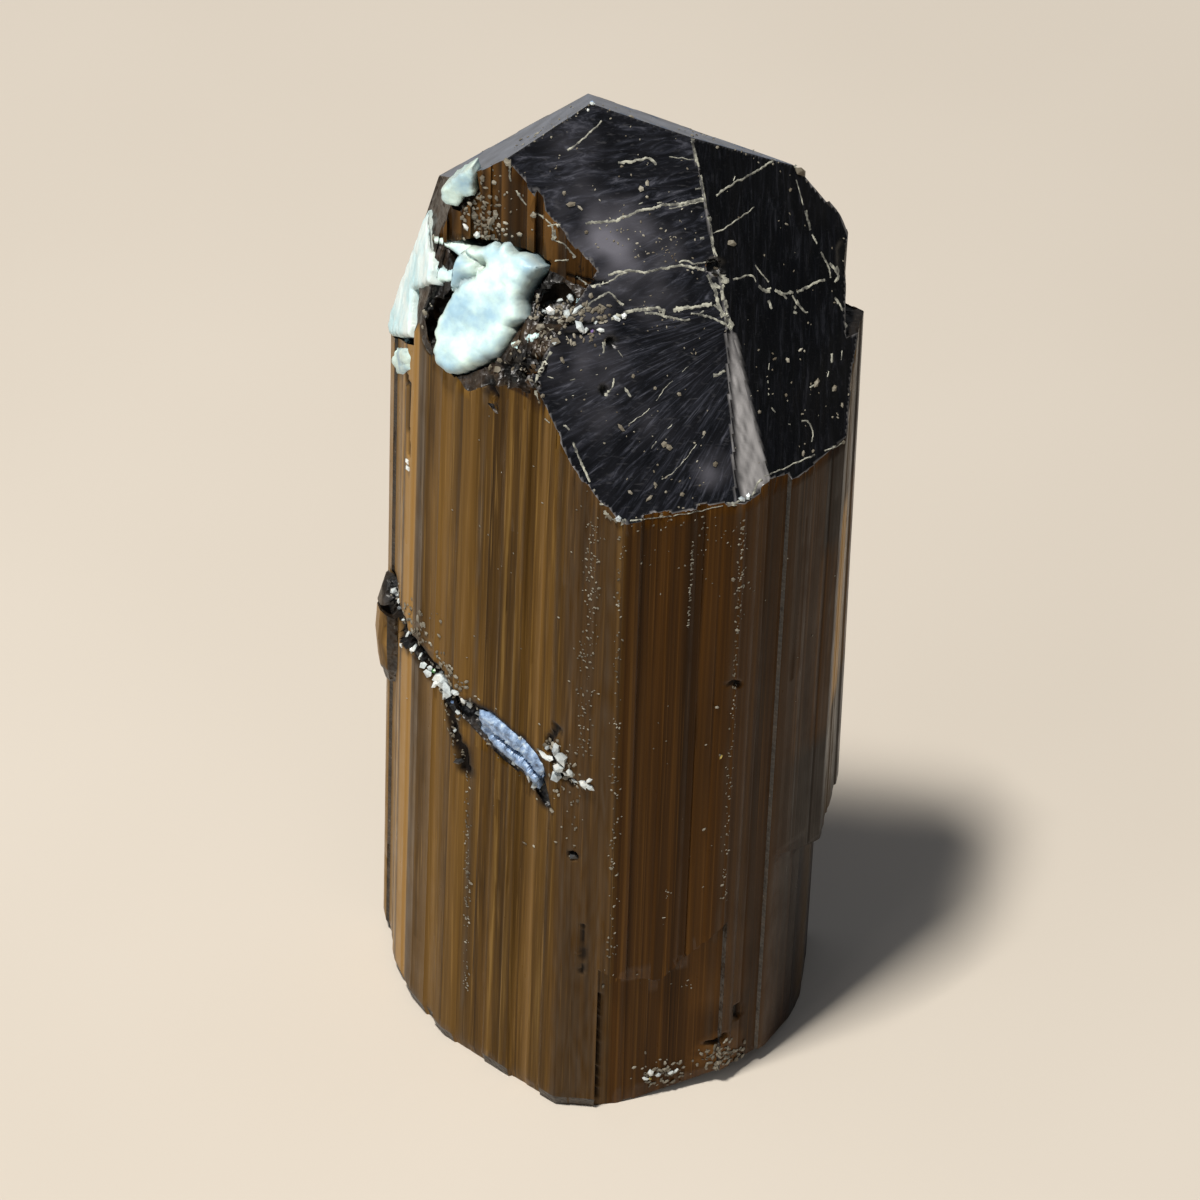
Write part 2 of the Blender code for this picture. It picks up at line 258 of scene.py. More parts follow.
def wall_material():
    """Silky brown walls with fine lengthwise streaks; golden bands are a painted highlight, grey bands a
    painted sheen, and dim places painted shade.
    """
    made = Surface("tourmaline_wall", 0.36, 0.08, Specular_Tint=(1.0, 0.7, 0.4, 1.0))
    fine = made.noise(made.position((5.5, 5.5, 0.03)), 3.0, 0.65)
    hairs = made.noise(made.position((7.0, 7.0, 0.05)), 1.0, 0.5)
    broad = made.noise(made.position((0.55, 0.55, 0.02)), 2.0, 0.5)
    patches = made.noise(made.position((0.9, 0.9, 0.35)), 4.0, 0.6)
    fine_share = made.math("MULTIPLY", fine, 0.62)
    stria_share = made.math("MULTIPLY", made.attribute("streak"), 0.38)
    streak = made.math("ADD", fine_share, stria_share)
    # The brown is partly the crystal's own and partly a painted reflection of warm light from below
    brown = made.ramp(streak, [(0.22, (0.034, 0.016, 0.0035)), (0.46, (0.1, 0.05, 0.0095)),
                               (0.62, (0.15, 0.078, 0.016)), (0.8, (0.29, 0.17, 0.045))])
    dark = made.ramp(broad, [(0.35, 0.62), (0.62, 1.05)])
    shaded = made.mix(1.0, brown, dark, "MULTIPLY")
    haired = made.mix(made.ramp(hairs, [(0.62, 0.0), (0.74, 0.42)]), shaded, (0.3, 0.175, 0.05))
    # Painted golden highlight in bands, and golden ground near the base
    gold_and_painted_highlight = made.mix(made.attribute("gold_and_painted_highlight"), haired, (0.42, 0.24, 0.075))
    # Painted shade: the walls are multiplied darker in bands and above a height
    painted_shade = made.mix(made.attribute("painted_shade"), gold_and_painted_highlight, (0.5, 0.36, 0.22), "MULTIPLY")
    # Painted grey sheen in narrow bands
    greyed = made.mix(made.attribute("film_and_sheen"), painted_shade, (0.12, 0.095, 0.07))
    # Painted shade, near black, in and around cracks, in pits and hollows and on the right-hand side
    with_painted_shade = made.mix(made.attribute("dark"), greyed, (0.006, 0.0055, 0.006))
    made.colour(with_painted_shade)
    made.roughness(made.ramp(patches, [(0.3, 0.27), (0.7, 0.46)]))
    made.bump(fine, 0.03, 0.6)
    return made.material


def black_material():
    """Glassy black end faces with fibrous growth lines and pale scratches; a painted blue-grey sheen on the
    front face, painted shade on the others, and pale edges that are partly chips and partly a painted
    highlight.
    """
    made = Surface("tourmaline_black", 0.26, 0.26)
    fibres = made.noise(made.grain(2.7, 0.3), 5.0, 0.7, 0.9)
    scratches = made.noise(made.position((0.5, 6.0, 6.0), (0.0, -38.0, 22.0)), 2.0, 0.5)
    cloud = made.cloud(0.16, 3.0, 0.5)
    black = made.ramp(fibres, [(0.4, (0.001, 0.0012, 0.002)), (0.5, (0.004, 0.0046, 0.0065)),
                               (0.58, (0.016, 0.0175, 0.024)), (0.72, (0.085, 0.088, 0.108))])
    film_and_sheen = made.mix(made.ramp(scratches, [(0.6, 0.0), (0.78, 0.5)]), black, (0.06, 0.06, 0.066))
    # Painted shade on the black faces other than the front one
    deep = made.mix(made.attribute("painted_shade"), film_and_sheen, (0.25, 0.25, 0.25), "MULTIPLY")
    # Painted blue-grey sheen on the front face
    sheened = made.mix(made.attribute("film_and_sheen"), deep, (0.15, 0.148, 0.175))
    # Pale edges: partly chips, partly a painted highlight, and the painted reflection of the small facet by
    # the ridge
    wear_and_painted_highlight = made.mix(made.attribute("wear_and_painted_highlight"), sheened, (0.36, 0.35, 0.35))
    # Painted shade, near black, in cracks and pits
    with_painted_shade = made.mix(made.attribute("dark"), wear_and_painted_highlight, (0.003, 0.003, 0.003))
    made.colour(with_painted_shade)
    made.roughness(made.ramp(cloud, [(0.35, 0.2), (0.65, 0.36)]))
    made.bump(fibres, 0.03, 0.5)
    return made.material


def back_face_material():
    """The far end faces: their pale blue-grey is a painted reflection, a little paler along the rims."""
    made = Surface("tourmaline_far_face", 0.42, 0.4)
    cloud = made.cloud(0.8, 4.0, 0.6)
    # Painted reflection: pale blue-grey
    grey = made.ramp(cloud, [(0.3, (0.075, 0.09, 0.12)), (0.7, (0.15, 0.175, 0.225))])
    made.colour(made.mix(made.math("MULTIPLY", made.attribute("wear_and_painted_highlight"), 0.25), grey, (0.4, 0.4, 0.38)))
    made.bump(cloud, 0.03, 0.4)
    return made.material


def fracture_material():
    """Broken ground: granular brown and black with glinting specks."""
    made = Surface("tourmaline_fracture", 0.4, 0.5)
    grains = made.cells(3.2)
    cloud = made.noise(made.position((0.7, 0.7, 0.5)), 5.0, 0.65)
    fine = made.noise(made.position((4.0, 4.0, 2.0)), 4.0, 0.7)
    brown = made.ramp(cloud, [(0.3, (0.006, 0.005, 0.005)), (0.5, (0.026, 0.016, 0.009)),
                              (0.66, (0.06, 0.038, 0.02)), (0.8, (0.12, 0.11, 0.095))])
    flecked = made.mix(made.ramp(fine, [(0.62, 0.0), (0.74, 0.8)]), brown, (0.2, 0.185, 0.15))
    # Painted shade, near black, in cracks, hollows and on the high right-hand ground
    with_painted_shade = made.mix(made.attribute("dark"), flecked, (0.005, 0.005, 0.005))
    made.colour(with_painted_shade)
    made.bump(grains, 0.12, 0.5)
    return made.material


def feldspar_material(name, blue, white):
    """Pale blue-white mineral, granular and a little cloudy, whiter on its crests."""
    made = Surface(name, 0.42, 0.4)
    cloud = made.cloud(0.5, 4.0, 0.55)
    spots = made.cloud(2.6, 4.0, 0.6)
    middle = [(low + high) / 2 for low, high in zip(blue, white)]
    pale = made.ramp(cloud, [(0.36, blue), (0.5, middle), (0.6, white)])
    stained = made.mix(made.ramp(spots, [(0.66, 0.0), (0.8, 0.55)]), pale, (0.25, 0.28, 0.27))
    edged = made.mix(made.math("MULTIPLY", made.attribute("rim"), 0.6), stained, (0.34, 0.35, 0.3))
    made.colour(edged)
    made.bump(spots, 0.06, 0.45)
    made.shader.inputs["Subsurface Weight"].default_value = 0.15
    made.shader.inputs["Subsurface Radius"].default_value = (0.9 * MM, 1.0 * MM, 1.0 * MM)
    made.shader.inputs["Subsurface Scale"].default_value = 1.0
    return made.material


def mottled(name, roughness, specular, cloud, stops, relief=None):
    """A material whose colour, and relief where it has one, follow one fractal noise."""
    made = Surface(name, roughness, specular)
    shade = made.cloud(*cloud)
    made.colour(made.ramp(shade, stops))
    if relief:
        made.bump(shade, *relief)
    return made.material


def filling_material():
    """Blue-white granular filling of the crack."""
    blue = [(0.3, (0.05, 0.07, 0.11)), (0.48, (0.22, 0.33, 0.52)), (0.6, (0.42, 0.56, 0.75)),
            (0.72, (0.72, 0.8, 0.82))]
    return mottled("crack_filling", 0.3, 0.6, (2.2, 4.0, 0.6), blue, (0.1, 0.6))


def vein_material():
    """Dull yellowish grey vein matter."""
    grey = [(0.34, (0.05, 0.05, 0.045)), (0.47, (0.2, 0.2, 0.17)), (0.62, (0.5, 0.5, 0.41))]
    return mottled("vein_matter", 0.6, 0.4, (2.0, 4.0, 0.6), grey, (0.05, 0.5))


def dust_material():
    """Dust and crumbs, from brown to pale straw."""
    straw = [(0.3, (0.08, 0.062, 0.04)), (0.5, (0.19, 0.17, 0.13)), (0.7, (0.42, 0.4, 0.33))]
    return mottled("dust", 0.7, 0.3, (0.9, 3.0, 0.6), straw)


def glint_material():
    """Clean glassy grains in the crack."""
    bright = [(0.3, (0.3, 0.34, 0.36)), (0.5, (0.6, 0.66, 0.66)), (0.7, (0.85, 0.85, 0.8))]
    return mottled("clear_grains", 0.18, 0.6, (1.3, 3.0, 0.6), bright)


def plain_material(name, colour):
    """A grain of one colour with a faint mottle."""
    stops = [(0.3, [0.55 * part for part in colour]), (0.7, colour)]
    return mottled(name, 0.3, 0.5, (3.0, 3.0, 0.6), stops)


def floor_material():
    """Plain pale floor."""
    pale = [(0.3, (0.6, 0.545, 0.47)), (0.7, (0.63, 0.575, 0.5))]
    return mottled("floor", 0.75, 0.2, (0.02, 2.0, 0.5), pale)


# Slicing the copied solid into fine cells

TINY = 1e-5


def slice_up(work, faces, coordinate, plane_at, cuts):
    """Cut faces along each value of a coordinate, halving the list so that few faces meet each cut."""
    stack = [(faces, 0, len(cuts))]
    while stack:
        group, low, high = stack.pop()
        if low >= high or not group:
            continue
        middle = (low + high) // 2
        value = cuts[middle]
        below, above, crossing = [], [], []
        for face in group:
            values = [coordinate(vertex.co) for vertex in face.verts]
            if max(values) <= value + TINY:
                below.append(face)
            elif min(values) >= value - TINY:
                above.append(face)
            else:
                crossing.append(face)
        if crossing:
            geometry = set(crossing)
            for face in crossing:
                geometry.update(face.edges)
                geometry.update(face.verts)
            point, normal = plane_at(value)
            result = bmesh.ops.bisect_plane(work, geom=list(geometry), dist=TINY,
                                            plane_co=point, plane_no=normal)
            for item in result["geom"]:
                if isinstance(item, bmesh.types.BMFace):
                    side = below if coordinate(item.calc_center_median()) < value else above
                    side.append(item)
        stack.append((below, low, middle))
        stack.append((above, middle + 1, high))


def polar_angle(point):
    """Polar angle about the upright axis, with the seam at the middle of the back."""
    angle = math.degrees(math.atan2(point[1], point[0]))
    return angle - 360.0 if angle > 90.0 else angle


def plane_at_angle(angle):
    """The upright plane through the axis at a polar angle."""
    turn = math.radians(angle)
    return (0.0, 0.0, 0.0), (-math.sin(turn), math.cos(turn), 0.0)


def stria_angles():
    """Polar angles of the edges between two striations, all round but for the seam at the back."""
    draw = random.Random(11)
    angles = []
    angle, last = STRIA_ANGLES
    while angle < last:
        seen = SEEN_ANGLES[0] < angle < SEEN_ANGLES[1]
        width = (STRIA_WIDTH if seen else BACK_STRIA_WIDTH) * math.exp(draw.gauss(0.0, STRIA_SPREAD))
        angle += math.degrees(width / (WALL_REACH if seen else BACK_WALL_REACH))
        angles.append(angle)
    return angles


STRIAE = stria_angles()


def evenly(low, high, step):
    """Values between two limits, a step apart."""
    count = int((high - low) / step)
    return [low + (high - low) * k / count for k in range(1, count)] if count > 1 else []


def slice_along(work, faces, direction, cuts):
    """Cut faces across a direction, at each of some distances along it."""
    slice_up(work, faces, lambda co: co.dot(direction), lambda value: (direction * value, direction), cuts)


def slice_rows(work, faces, direction, step):
    """Cut faces across a direction into rows that are a step apart."""
    values = [vertex.co.dot(direction) for face in faces for vertex in face.verts]
    slice_along(work, faces, direction, evenly(min(values), max(values), step))


def grid_faces(work, faces, first, second, cell):
    """Cut flat faces into square cells along two directions."""
    for direction in (first, second):
        if not faces:
            return
        marked = mark(work, faces)
        slice_rows(work, faces, direction, cell)
        faces = collect(work, marked)


def mark(work, faces):
    """Tag faces with a number of their own, which the pieces that they are cut into keep."""
    layer = work.faces.layers.int["group"]
    number = max((face[layer] for face in work.faces), default=0) + 1
    for face in faces:
        face[layer] = number
    return number


def collect(work, number):
    """The faces that carry a number."""
    layer = work.faces.layers.int["group"]
    return [face for face in work.faces if face[layer] == number]


WALL, BLACK, FAR, FRACTURE, BASE = range(5)
END_FACES = ((FRONT_FACE, BLACK), (RIGHT_FACE, BLACK), (RIDGE_BEVEL, BLACK), (RIGHT_SHOULDER, BLACK),
             (BACK_LEFT_FACE, FAR), (BACK_RIGHT_FACE, FAR))
SAME_WAY = 0.9995        # cosine of the angle below which a face is parallel to an end face
SAME_PLANE = 0.05        # distance below which it lies in the same plane
UPRIGHT = 0.2            # a wall's normal rises less than this
OUTWARD = 0.1            # and points away from the axis by more than this
SET_BACK_LEVEL = 60.0    # above this height a wall may face the axis
UP = Vector((0, 0, 1))


def kind_of(face):
    """What a face of the solid is, from its normal and place."""
    normal = face.normal
    if normal.z < -0.9:
        return BASE
    centre = face.calc_center_median()
    for plane, kind in END_FACES:
        origin, along, up, outward = axes_of(plane)
        if normal.dot(outward) > SAME_WAY and abs(outward.dot(centre - origin)) < SAME_PLANE:
            return kind
    reach = math.hypot(centre.x, centre.y)
    outward = (centre.x * normal.x + centre.y * normal.y) / max(reach, 0.1)
    if abs(normal.z) < UPRIGHT and (outward > OUTWARD or centre.z > SET_BACK_LEVEL):
        return WALL
    return FRACTURE


def of_kind(work, kind):
    """The faces of one kind."""
    return [face for face in work.faces if face.material_index == kind]


def split_large(work):
    """Cut the faces of more than four corners into triangles."""
    bmesh.ops.triangulate(work, faces=[face for face in work.faces if len(face.verts) > 4])


def sliced_crystal():
    """The crystal's solid copied in millimetres and cut into fine cells; every face carries its kind."""
    work = bmesh.new()
    work.from_mesh(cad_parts["tourmaline_crystal"].data)
    bmesh.ops.scale(work, vec=(1 / MM, 1 / MM, 1 / MM), verts=work.verts)
    bmesh.ops.remove_doubles(work, verts=work.verts, dist=0.002)
    bmesh.ops.dissolve_limit(work, angle_limit=math.radians(0.4), verts=work.verts, edges=work.edges)
    work.faces.layers.int.new("group")
    work.normal_update()
    for face in work.faces:
        face.material_index = kind_of(face)

    slice_up(work, of_kind(work, WALL), polar_angle, plane_at_angle, STRIAE)
    slice_along(work, of_kind(work, WALL), UP, evenly(0.0, WALL_TOP, LEVEL_STEP))
    for plane, kind in END_FACES:
        origin, along, up, outward = axes_of(plane)
        faces = [face for face in of_kind(work, kind) if face.normal.dot(outward) > SAME_WAY]
        grid_faces(work, faces, along, up, FACE_CELL if kind == BLACK else BACK_CELL)
    for direction in (Vector((1, 0, 0)), Vector((0, 1, 0)), UP):
        slice_rows(work, of_kind(work, FRACTURE), direction, FRACTURE_CELL)
    split_large(work)
    return work


# Relief and masks of the sliced crystal

MASKS = ("streak", "gold_and_painted_highlight", "painted_shade", "film_and_sheen", "wear_and_painted_highlight", "dark", "across", "along")

# Bands of the walls by polar angle: from, to, strength. Painted golden highlight, painted grey sheen, painted
# dimming shade, and painted dark shade
PAINTED_GOLD_BANDS = [
    (-209, -200, 0.5), (-198.5, -194.5, 0.8), (-192.5, -186.5, 0.85), (-179, -172, 0.22), (-166, -161, 0.2),
    (-127, -124, 0.25), (-37, -33, 0.12), (-20, -17, 0.12), (5, 14, 1.0),
]
PAINTED_SHEEN_BANDS = [
    (-186.5, -182.5, 0.5), (-159.5, -157.2, 0.5), (-112, -86.5, 0.36), (-42, -39.8, 0.3), (-81, -79, 0.12),
]
PAINTED_SHADE_BANDS = [(-86.0, 4.0, 0.9), (-112.0, -86.0, 0.45), (20.0, 90.0, 0.5)]
SHADE_BANDS = [(-38.0, 4.0, 0.3)]
PAINTED_SHADE_EDGE = 3.0           # degrees over which a band of painted shade fades in
SHADE_EDGE = 4.0

CRACK_PATHS = 3          # the first of the dark paths are the crack, and darken their surroundings
CRACK_HALO = 0.45        # this far
# Cracks and pits with painted shade in them, cast onto the surface: pixels, half width, depth
DARK_PATHS = [
    ([(389, 583), (396, 602), (405, 633), (414, 647), (421, 656), (431, 669), (447, 686), (456, 701),
      (474, 713)], 0.8, 0.4),
    ([(471, 708), (490, 716), (508, 733), (530, 752), (541, 775), (547, 800)], 0.42, 0.15),
    ([(447, 700), (451, 716), (455, 735), (462, 752), (466, 768)], 0.36, 0.25),
    ([(556, 728), (549, 745), (556, 770), (572, 783)], 0.36, 0.2),
    ([(583, 926), (584, 950), (583, 974)], 0.12, 0.2),
    ([(599, 994), (597, 1030), (596, 1062), (595, 1096)], 0.12, 0.3), ([(572, 855), (574, 857)], 0.34, 0.3),
    ([(734, 683), (739, 685)], 0.3, 0.25), ([(738, 1006), (738, 1016)], 0.26, 0.3),
    ([(708, 1043), (718, 1042), (724, 1036)], 0.26, 0.3), ([(406, 381), (406, 374)], 0.26, 0.25),
    ([(409, 382), (408, 410), (409, 455)], 0.18, 0.18), ([(487, 383), (493, 394)], 0.5, 0.4),
    ([(503, 370), (520, 367), (536, 364)], 0.55, 0.45), ([(428, 300), (432, 325), (432, 345)], 0.5, 0.2),
    ([(530, 297), (541, 292), (551, 297)], 0.75, 0.25),
    ([(540, 320), (552, 321), (571, 323), (590, 324), (603, 321)], 0.17, 0.25),
    ([(566, 334), (580, 334), (594, 332)], 0.2, 0.2), ([(604, 390), (605, 392)], 0.32, 0.35),
    ([(611, 342), (613, 344)], 0.36, 0.3), ([(568, 276), (590, 281), (606, 283)], 0.16, 0.15),
    ([(712, 264), (721, 269)], 0.5, 0.3), ([(843, 250), (850, 300)], 0.6, 0.1),
]
# Ground that lies in the dark: pixel, reach, strength
DARK_SPOTS = [
    ((540, 296), 2.2, 0.95), ((560, 296), 1.7, 0.85), ((548, 282), 1.5, 0.7), ((575, 290), 1.2, 0.6),
    ((520, 366), 1.6, 0.9), ((490, 388), 0.9, 0.8), ((431, 320), 1.6, 0.8), ((440, 290), 1.6, 0.85),
    ((452, 288), 1.2, 0.8), ((566, 335), 1.2, 0.6), ((612, 342), 0.6, 0.8), ((500, 352), 1.0, 0.5),
    ((545, 320), 1.2, 0.5), ((455, 700), 1.3, 0.6), ((470, 712), 1.2, 0.7),
]
# Golden ground near the base: pixel, reach, strength
GOLD_SPOTS = [
    ((722, 1054), 2.2, 0.9), ((722, 990), 2.6, 0.35), ((722, 950), 2.4, 0.3), ((770, 1000), 2.5, 0.15),
]
DETAIL_REACH = 1.1       # walls this near a dark path are cut into rows this far apart
DETAIL_STEP = 0.16

# Where the look changes, by height or by x and height
PAINTED_SHADE_LEVEL = 57.0                    # walls above this height get painted shade, with darker streaks
UPPER_PAINTED_SHADE = (12.0, 43.0)           # walls beyond this x and above this height get painted shade
LOWER_PAINTED_SHADE = (9.0, 27.0)            # walls get painted shade beyond this x below this height
BROKEN_PAINTED_SHADE = (9.0, 45.0)           # broken ground beyond this x and above this height gets painted shade
ROUGH_LEVEL = 50.0                  # broken ground above this height has its full relief
FACET_TOP = 60.0                    # the facet with the painted reflection lies below this height

# How a face has to lie to the front face, as the cosine between the normals
FAN_MATCH = 0.975                   # for its fibres to fan out
FRONT_MATCH = 0.995                 # to be part of it

# Painted sheen on the front black face: pixel, reach, strength
PAINTED_SHEEN_SPOTS = [
    ((612, 246), 3.3, 1.0), ((655, 258), 2.4, 0.5), ((575, 195), 2.6, 0.25), ((570, 150), 2.4, 0.2),
    ((650, 295), 2.6, 0.3), ((585, 360), 3.2, 0.32), ((600, 400), 3.0, 0.25), ((650, 425), 2.2, 0.15),
    ((712, 470), 1.5, 0.5), ((590, 320), 2.0, 0.6),
]
# Faint painted sheen over the whole front face
FRONT_PAINTED_SHEEN = 0.03

# Pixels that the fibres of the front face fan out from, below and above a border
LOWER_FAN = (792, 296)
UPPER_FAN = (1050, 90)
FAN_BORDER = 311
FAN_ARC = 16.0           # millimetres across the fibres for each radian of the fan
PIXELS_PER_MM = 11.5

# The small facet on the ridge with its painted reflection, the box of pixels around it, and the pixels over
# which it fades in
RIDGE_FACET = [
    (729, 334), (736, 334), (745, 376), (753, 410), (760, 440), (768, 481), (748, 499), (742, 500),
    (738, 470), (735, 418), (732, 385), (730, 343),
]
FACET_BOX = (722, 776, 326, 508)
FACET_EDGE = 4.0


def solid_tree(*names):
    """Some solids together as a tree for casting pixels onto them."""
    work = bmesh.new()
    for name in names:
        work.from_mesh(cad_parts[name].data)
    bmesh.ops.scale(work, vec=(1 / MM, 1 / MM, 1 / MM), verts=work.verts)
    tree = BVHTree.FromBMesh(work)
    work.free()
    return tree


def along_pixels(pixels, step):
    """Pixels along a line of pixels, a step apart, in a smooth curve through them."""
    points = [Vector(pixel) for pixel in pixels]
    if len(points) < 3:
        count = max(1, int((points[-1] - points[0]).length / step))
        return [points[0].lerp(points[-1], k / count) for k in range(count + 1)]
    padded = [points[0] * 2 - points[1], *points, points[-1] * 2 - points[-2]]
    made = []
    for k in range(1, len(padded) - 2):
        before, start, end, after = padded[k - 1:k + 3]
        count = max(1, int((end - start).length / step))
        for part in (j / count for j in range(count)):
            square, cube = part * part, part * part * part
            bend = 2 * before - 5 * start + 4 * end - after
            twist = 3 * start - before - 3 * end + after
            made.append(0.5 * (2 * start + (end - before) * part + bend * square + twist * cube))
    return made + [points[-1]]


def pixel_of(point):
    """The pixel that shows a point."""
    local = CAMERA_INVERSE @ point
    scale = -local.z * SENSOR / LENS / PICTURE
    return PICTURE / 2 + local.x / scale, PICTURE / 2 - local.y / scale


def cast(tree, pixel):
    """Where the line of sight through a pixel meets a surface, and the normal there."""
    start, direction = pixel_ray(pixel)
    place, normal, index, distance = tree.ray_cast(start, direction)
    return place, normal


def band_strength(bands, angle, soften=0.8):
    """How strongly a polar angle lies in one of some bands."""
    best = 0.0
    for low, high, strength in bands:
        inside = min(angle - low, high - angle)
        best = max(best, strength * min(max(inside / soften + 0.5, 0.0), 1.0))
    return best


def stria_tables():
    """Depth and tone of each striation."""
    draw = random.Random(23)
    depths = [STRIA_DEPTH * draw.random() ** 1.4 for k in range(len(STRIAE) + 1)]
    tones = [min(max(draw.gauss(0.5, 0.2), 0.0), 1.0) for k in range(len(STRIAE) + 1)]
    return depths, tones


STRIA_DEPTHS, STRIA_TONES = stria_tables()


def wall_relief(point):
    """Depth and tone of the striated wall at a point."""
    angle = polar_angle(point)
    index = bisect_left(STRIAE, angle - 0.01)
    fade = 0.65 + 0.7 * wave(index * 3.7, point.z * 0.07, 1.0)
    tone = STRIA_TONES[index] + 0.3 * wave(angle * 0.35, point.z * 0.05, 5.0)
    return STRIA_DEPTHS[index] * fade, tone, angle


def fibre_place(point, front):
    """Place across and along the fibres, which on the front face fan out from a pixel."""
    x, y = pixel_of(point)
    if not front:
        return x / PIXELS_PER_MM, y / PIXELS_PER_MM
    middle = LOWER_FAN if y > FAN_BORDER else UPPER_FAN
    turn = math.atan2(y - middle[1], middle[0] - x)
    return turn * FAN_ARC, math.hypot(x - middle[0], y - middle[1]) / PIXELS_PER_MM


def fibre_relief(across, along):
    """Depth of the fibrous growth lines of the end faces."""
    coarse = wave(across * 1.4, along * 0.2, 4.0)
    fine = wave(across * 3.2, along * 0.5, 9.0)
    return FIBRE_RELIEF * (0.6 + 0.8 * coarse + 0.6 * fine)


def broken_relief(point):
    """Depth of granular broken ground."""
    coarse = noise.noise(point * 0.9)
    middle = noise.noise(point * 2.3 + Vector((5.0, 0.0, 0.0)))
    fine = noise.noise(point * 5.5 + Vector((0.0, 9.0, 0.0)))
    return FRACTURE_RELIEF * (0.5 + 0.9 * coarse + 0.7 * middle + 0.45 * fine)


def path_points(tree):
    """Points of every dark path on the surface: place, half width, depth, whether it is part of the crack."""
    rows = []
    for order, (pixels, half_width, depth) in enumerate(DARK_PATHS):
        for pixel in along_pixels(pixels, 2.0):
            place, normal = cast(tree, pixel)
            if place:
                wobble = 1.0 + 0.45 * noise.noise(place * 1.6)
                rows.append((*place, half_width * wobble, depth, order < CRACK_PATHS))
    return np.array(rows)


def refine_details(work, paths):
    """Cut the walls near the dark paths into short rows."""
    near = []
    for face in work.faces:
        if face.material_index != WALL:
            continue
        centre = np.array(face.calc_center_median())
        gap = np.abs(paths[:, :3] - centre)
        half = max(edge.calc_length() for edge in face.edges) / 2
        close = (gap[:, 2] < half + DETAIL_REACH) & (np.hypot(gap[:, 0], gap[:, 1]) < DETAIL_REACH)
        if close.any():
            near.append(face)
    slice_along(work, near, UP, evenly(0.0, WALL_TOP, DETAIL_STEP))


def spots_on(tree, spots):
    """Places on the surface of spots given by pixel, reach and strength."""
    found = [(cast(tree, pixel)[0], reach, strength) for pixel, reach, strength in spots]
    return [spot for spot in found if spot[0]]


def in_paths(point, paths):
    """How far inside a dark path a point lies, how deep the path is there, and how dark."""
    gap = np.linalg.norm(paths[:, :3] - np.array(point), axis=1)
    share = 1.0 - gap / paths[:, 3]
    nearest = int(share.argmax())
    inside = max(share[nearest], 0.0)
    halo = (1.0 - gap / (paths[:, 3] + CRACK_HALO)) * paths[:, 5]
    shade = min(1.0, max(inside * 2.5, halo.max() * 1.6))
    return inside, paths[nearest, 4] * min(inside * 2.0, 1.0), shade


def spot_shade(point, spots):
    """How dark a point is from the spots that it lies in."""
    best = 0.0
    for spot, reach, strength in spots:
        away = (point - spot).length / reach
        if away < 1.0:
            best = max(best, strength * min(1.0, 2.0 * (1.0 - away)))
    return best


def lift_mask(vertex, layer, value):
    """Raise a mask at a point to a value, where it is lower."""
    vertex[layer] = max(vertex[layer], value)


def carve_wall(vertex, kinds, layers, gold_spots):
    """Store the masks of a point of the walls, and give the shift that its striation makes."""
    point = vertex.co
    depth, tone, angle = wall_relief(point)
    dark = layers["dark"]
    vertex[layers["streak"]] = tone
    # Painted golden highlight in bands of polar angle
    vertex[layers["gold_and_painted_highlight"]] = band_strength(PAINTED_GOLD_BANDS, angle)
    # Painted shade in bands of polar angle
    vertex[layers["painted_shade"]] = band_strength(PAINTED_SHADE_BANDS, angle, PAINTED_SHADE_EDGE)
    # Painted shade on the high walls, with darker streaks in it
    if point.z > PAINTED_SHADE_LEVEL:
        vertex[layers["painted_shade"]] = 0.75
        lift_mask(vertex, dark, 0.4 + 0.45 * (wave(angle * 1.6, 3.0, 1.0) > 0.2))
    # Painted shade on the right-hand walls, high up and low down
    if point.x > UPPER_PAINTED_SHADE[0] and point.z > UPPER_PAINTED_SHADE[1]:
        lift_mask(vertex, dark, 0.85)
    if point.x > LOWER_PAINTED_SHADE[0] and point.z < LOWER_PAINTED_SHADE[1]:
        lift_mask(vertex, dark, min(0.9, 0.3 * (point.x - LOWER_PAINTED_SHADE[0])))
    lift_mask(vertex, dark, band_strength(SHADE_BANDS, angle, SHADE_EDGE))
    for spot, reach, strength in gold_spots:
        fade = max(0.0, 1.0 - (point - spot).length / reach)
        lift_mask(vertex, layers["gold_and_painted_highlight"], strength * fade * (1.0 + noise.noise(point * 1.5)))
    mottle = 0.6 + 0.9 * wave(angle * 0.9, point.z * 0.5, 2.0)
    # Painted grey sheen in bands, mottled
    vertex[layers["film_and_sheen"]] = band_strength(PAINTED_SHEEN_BANDS, angle) * mottle
    radial = Vector((point.x, point.y, 0.0)).normalized()
    shift = -radial * depth * (0.5 if FRACTURE in kinds else 1.0)
    end_normals = [face.normal for face in vertex.link_faces if face.material_index in (BLACK, FAR)]
    if end_normals:
        # A point of the rim slides down the end face
        shift.z = -(shift.x * end_normals[0].x + shift.y * end_normals[0].y) / end_normals[0].z
        # The rim is pale: partly chips, partly a painted highlight
        vertex[layers["wear_and_painted_highlight"]] = 0.35 + 0.65 * max(0.0, noise.noise(point * 1.3) + 0.3)
    return shift


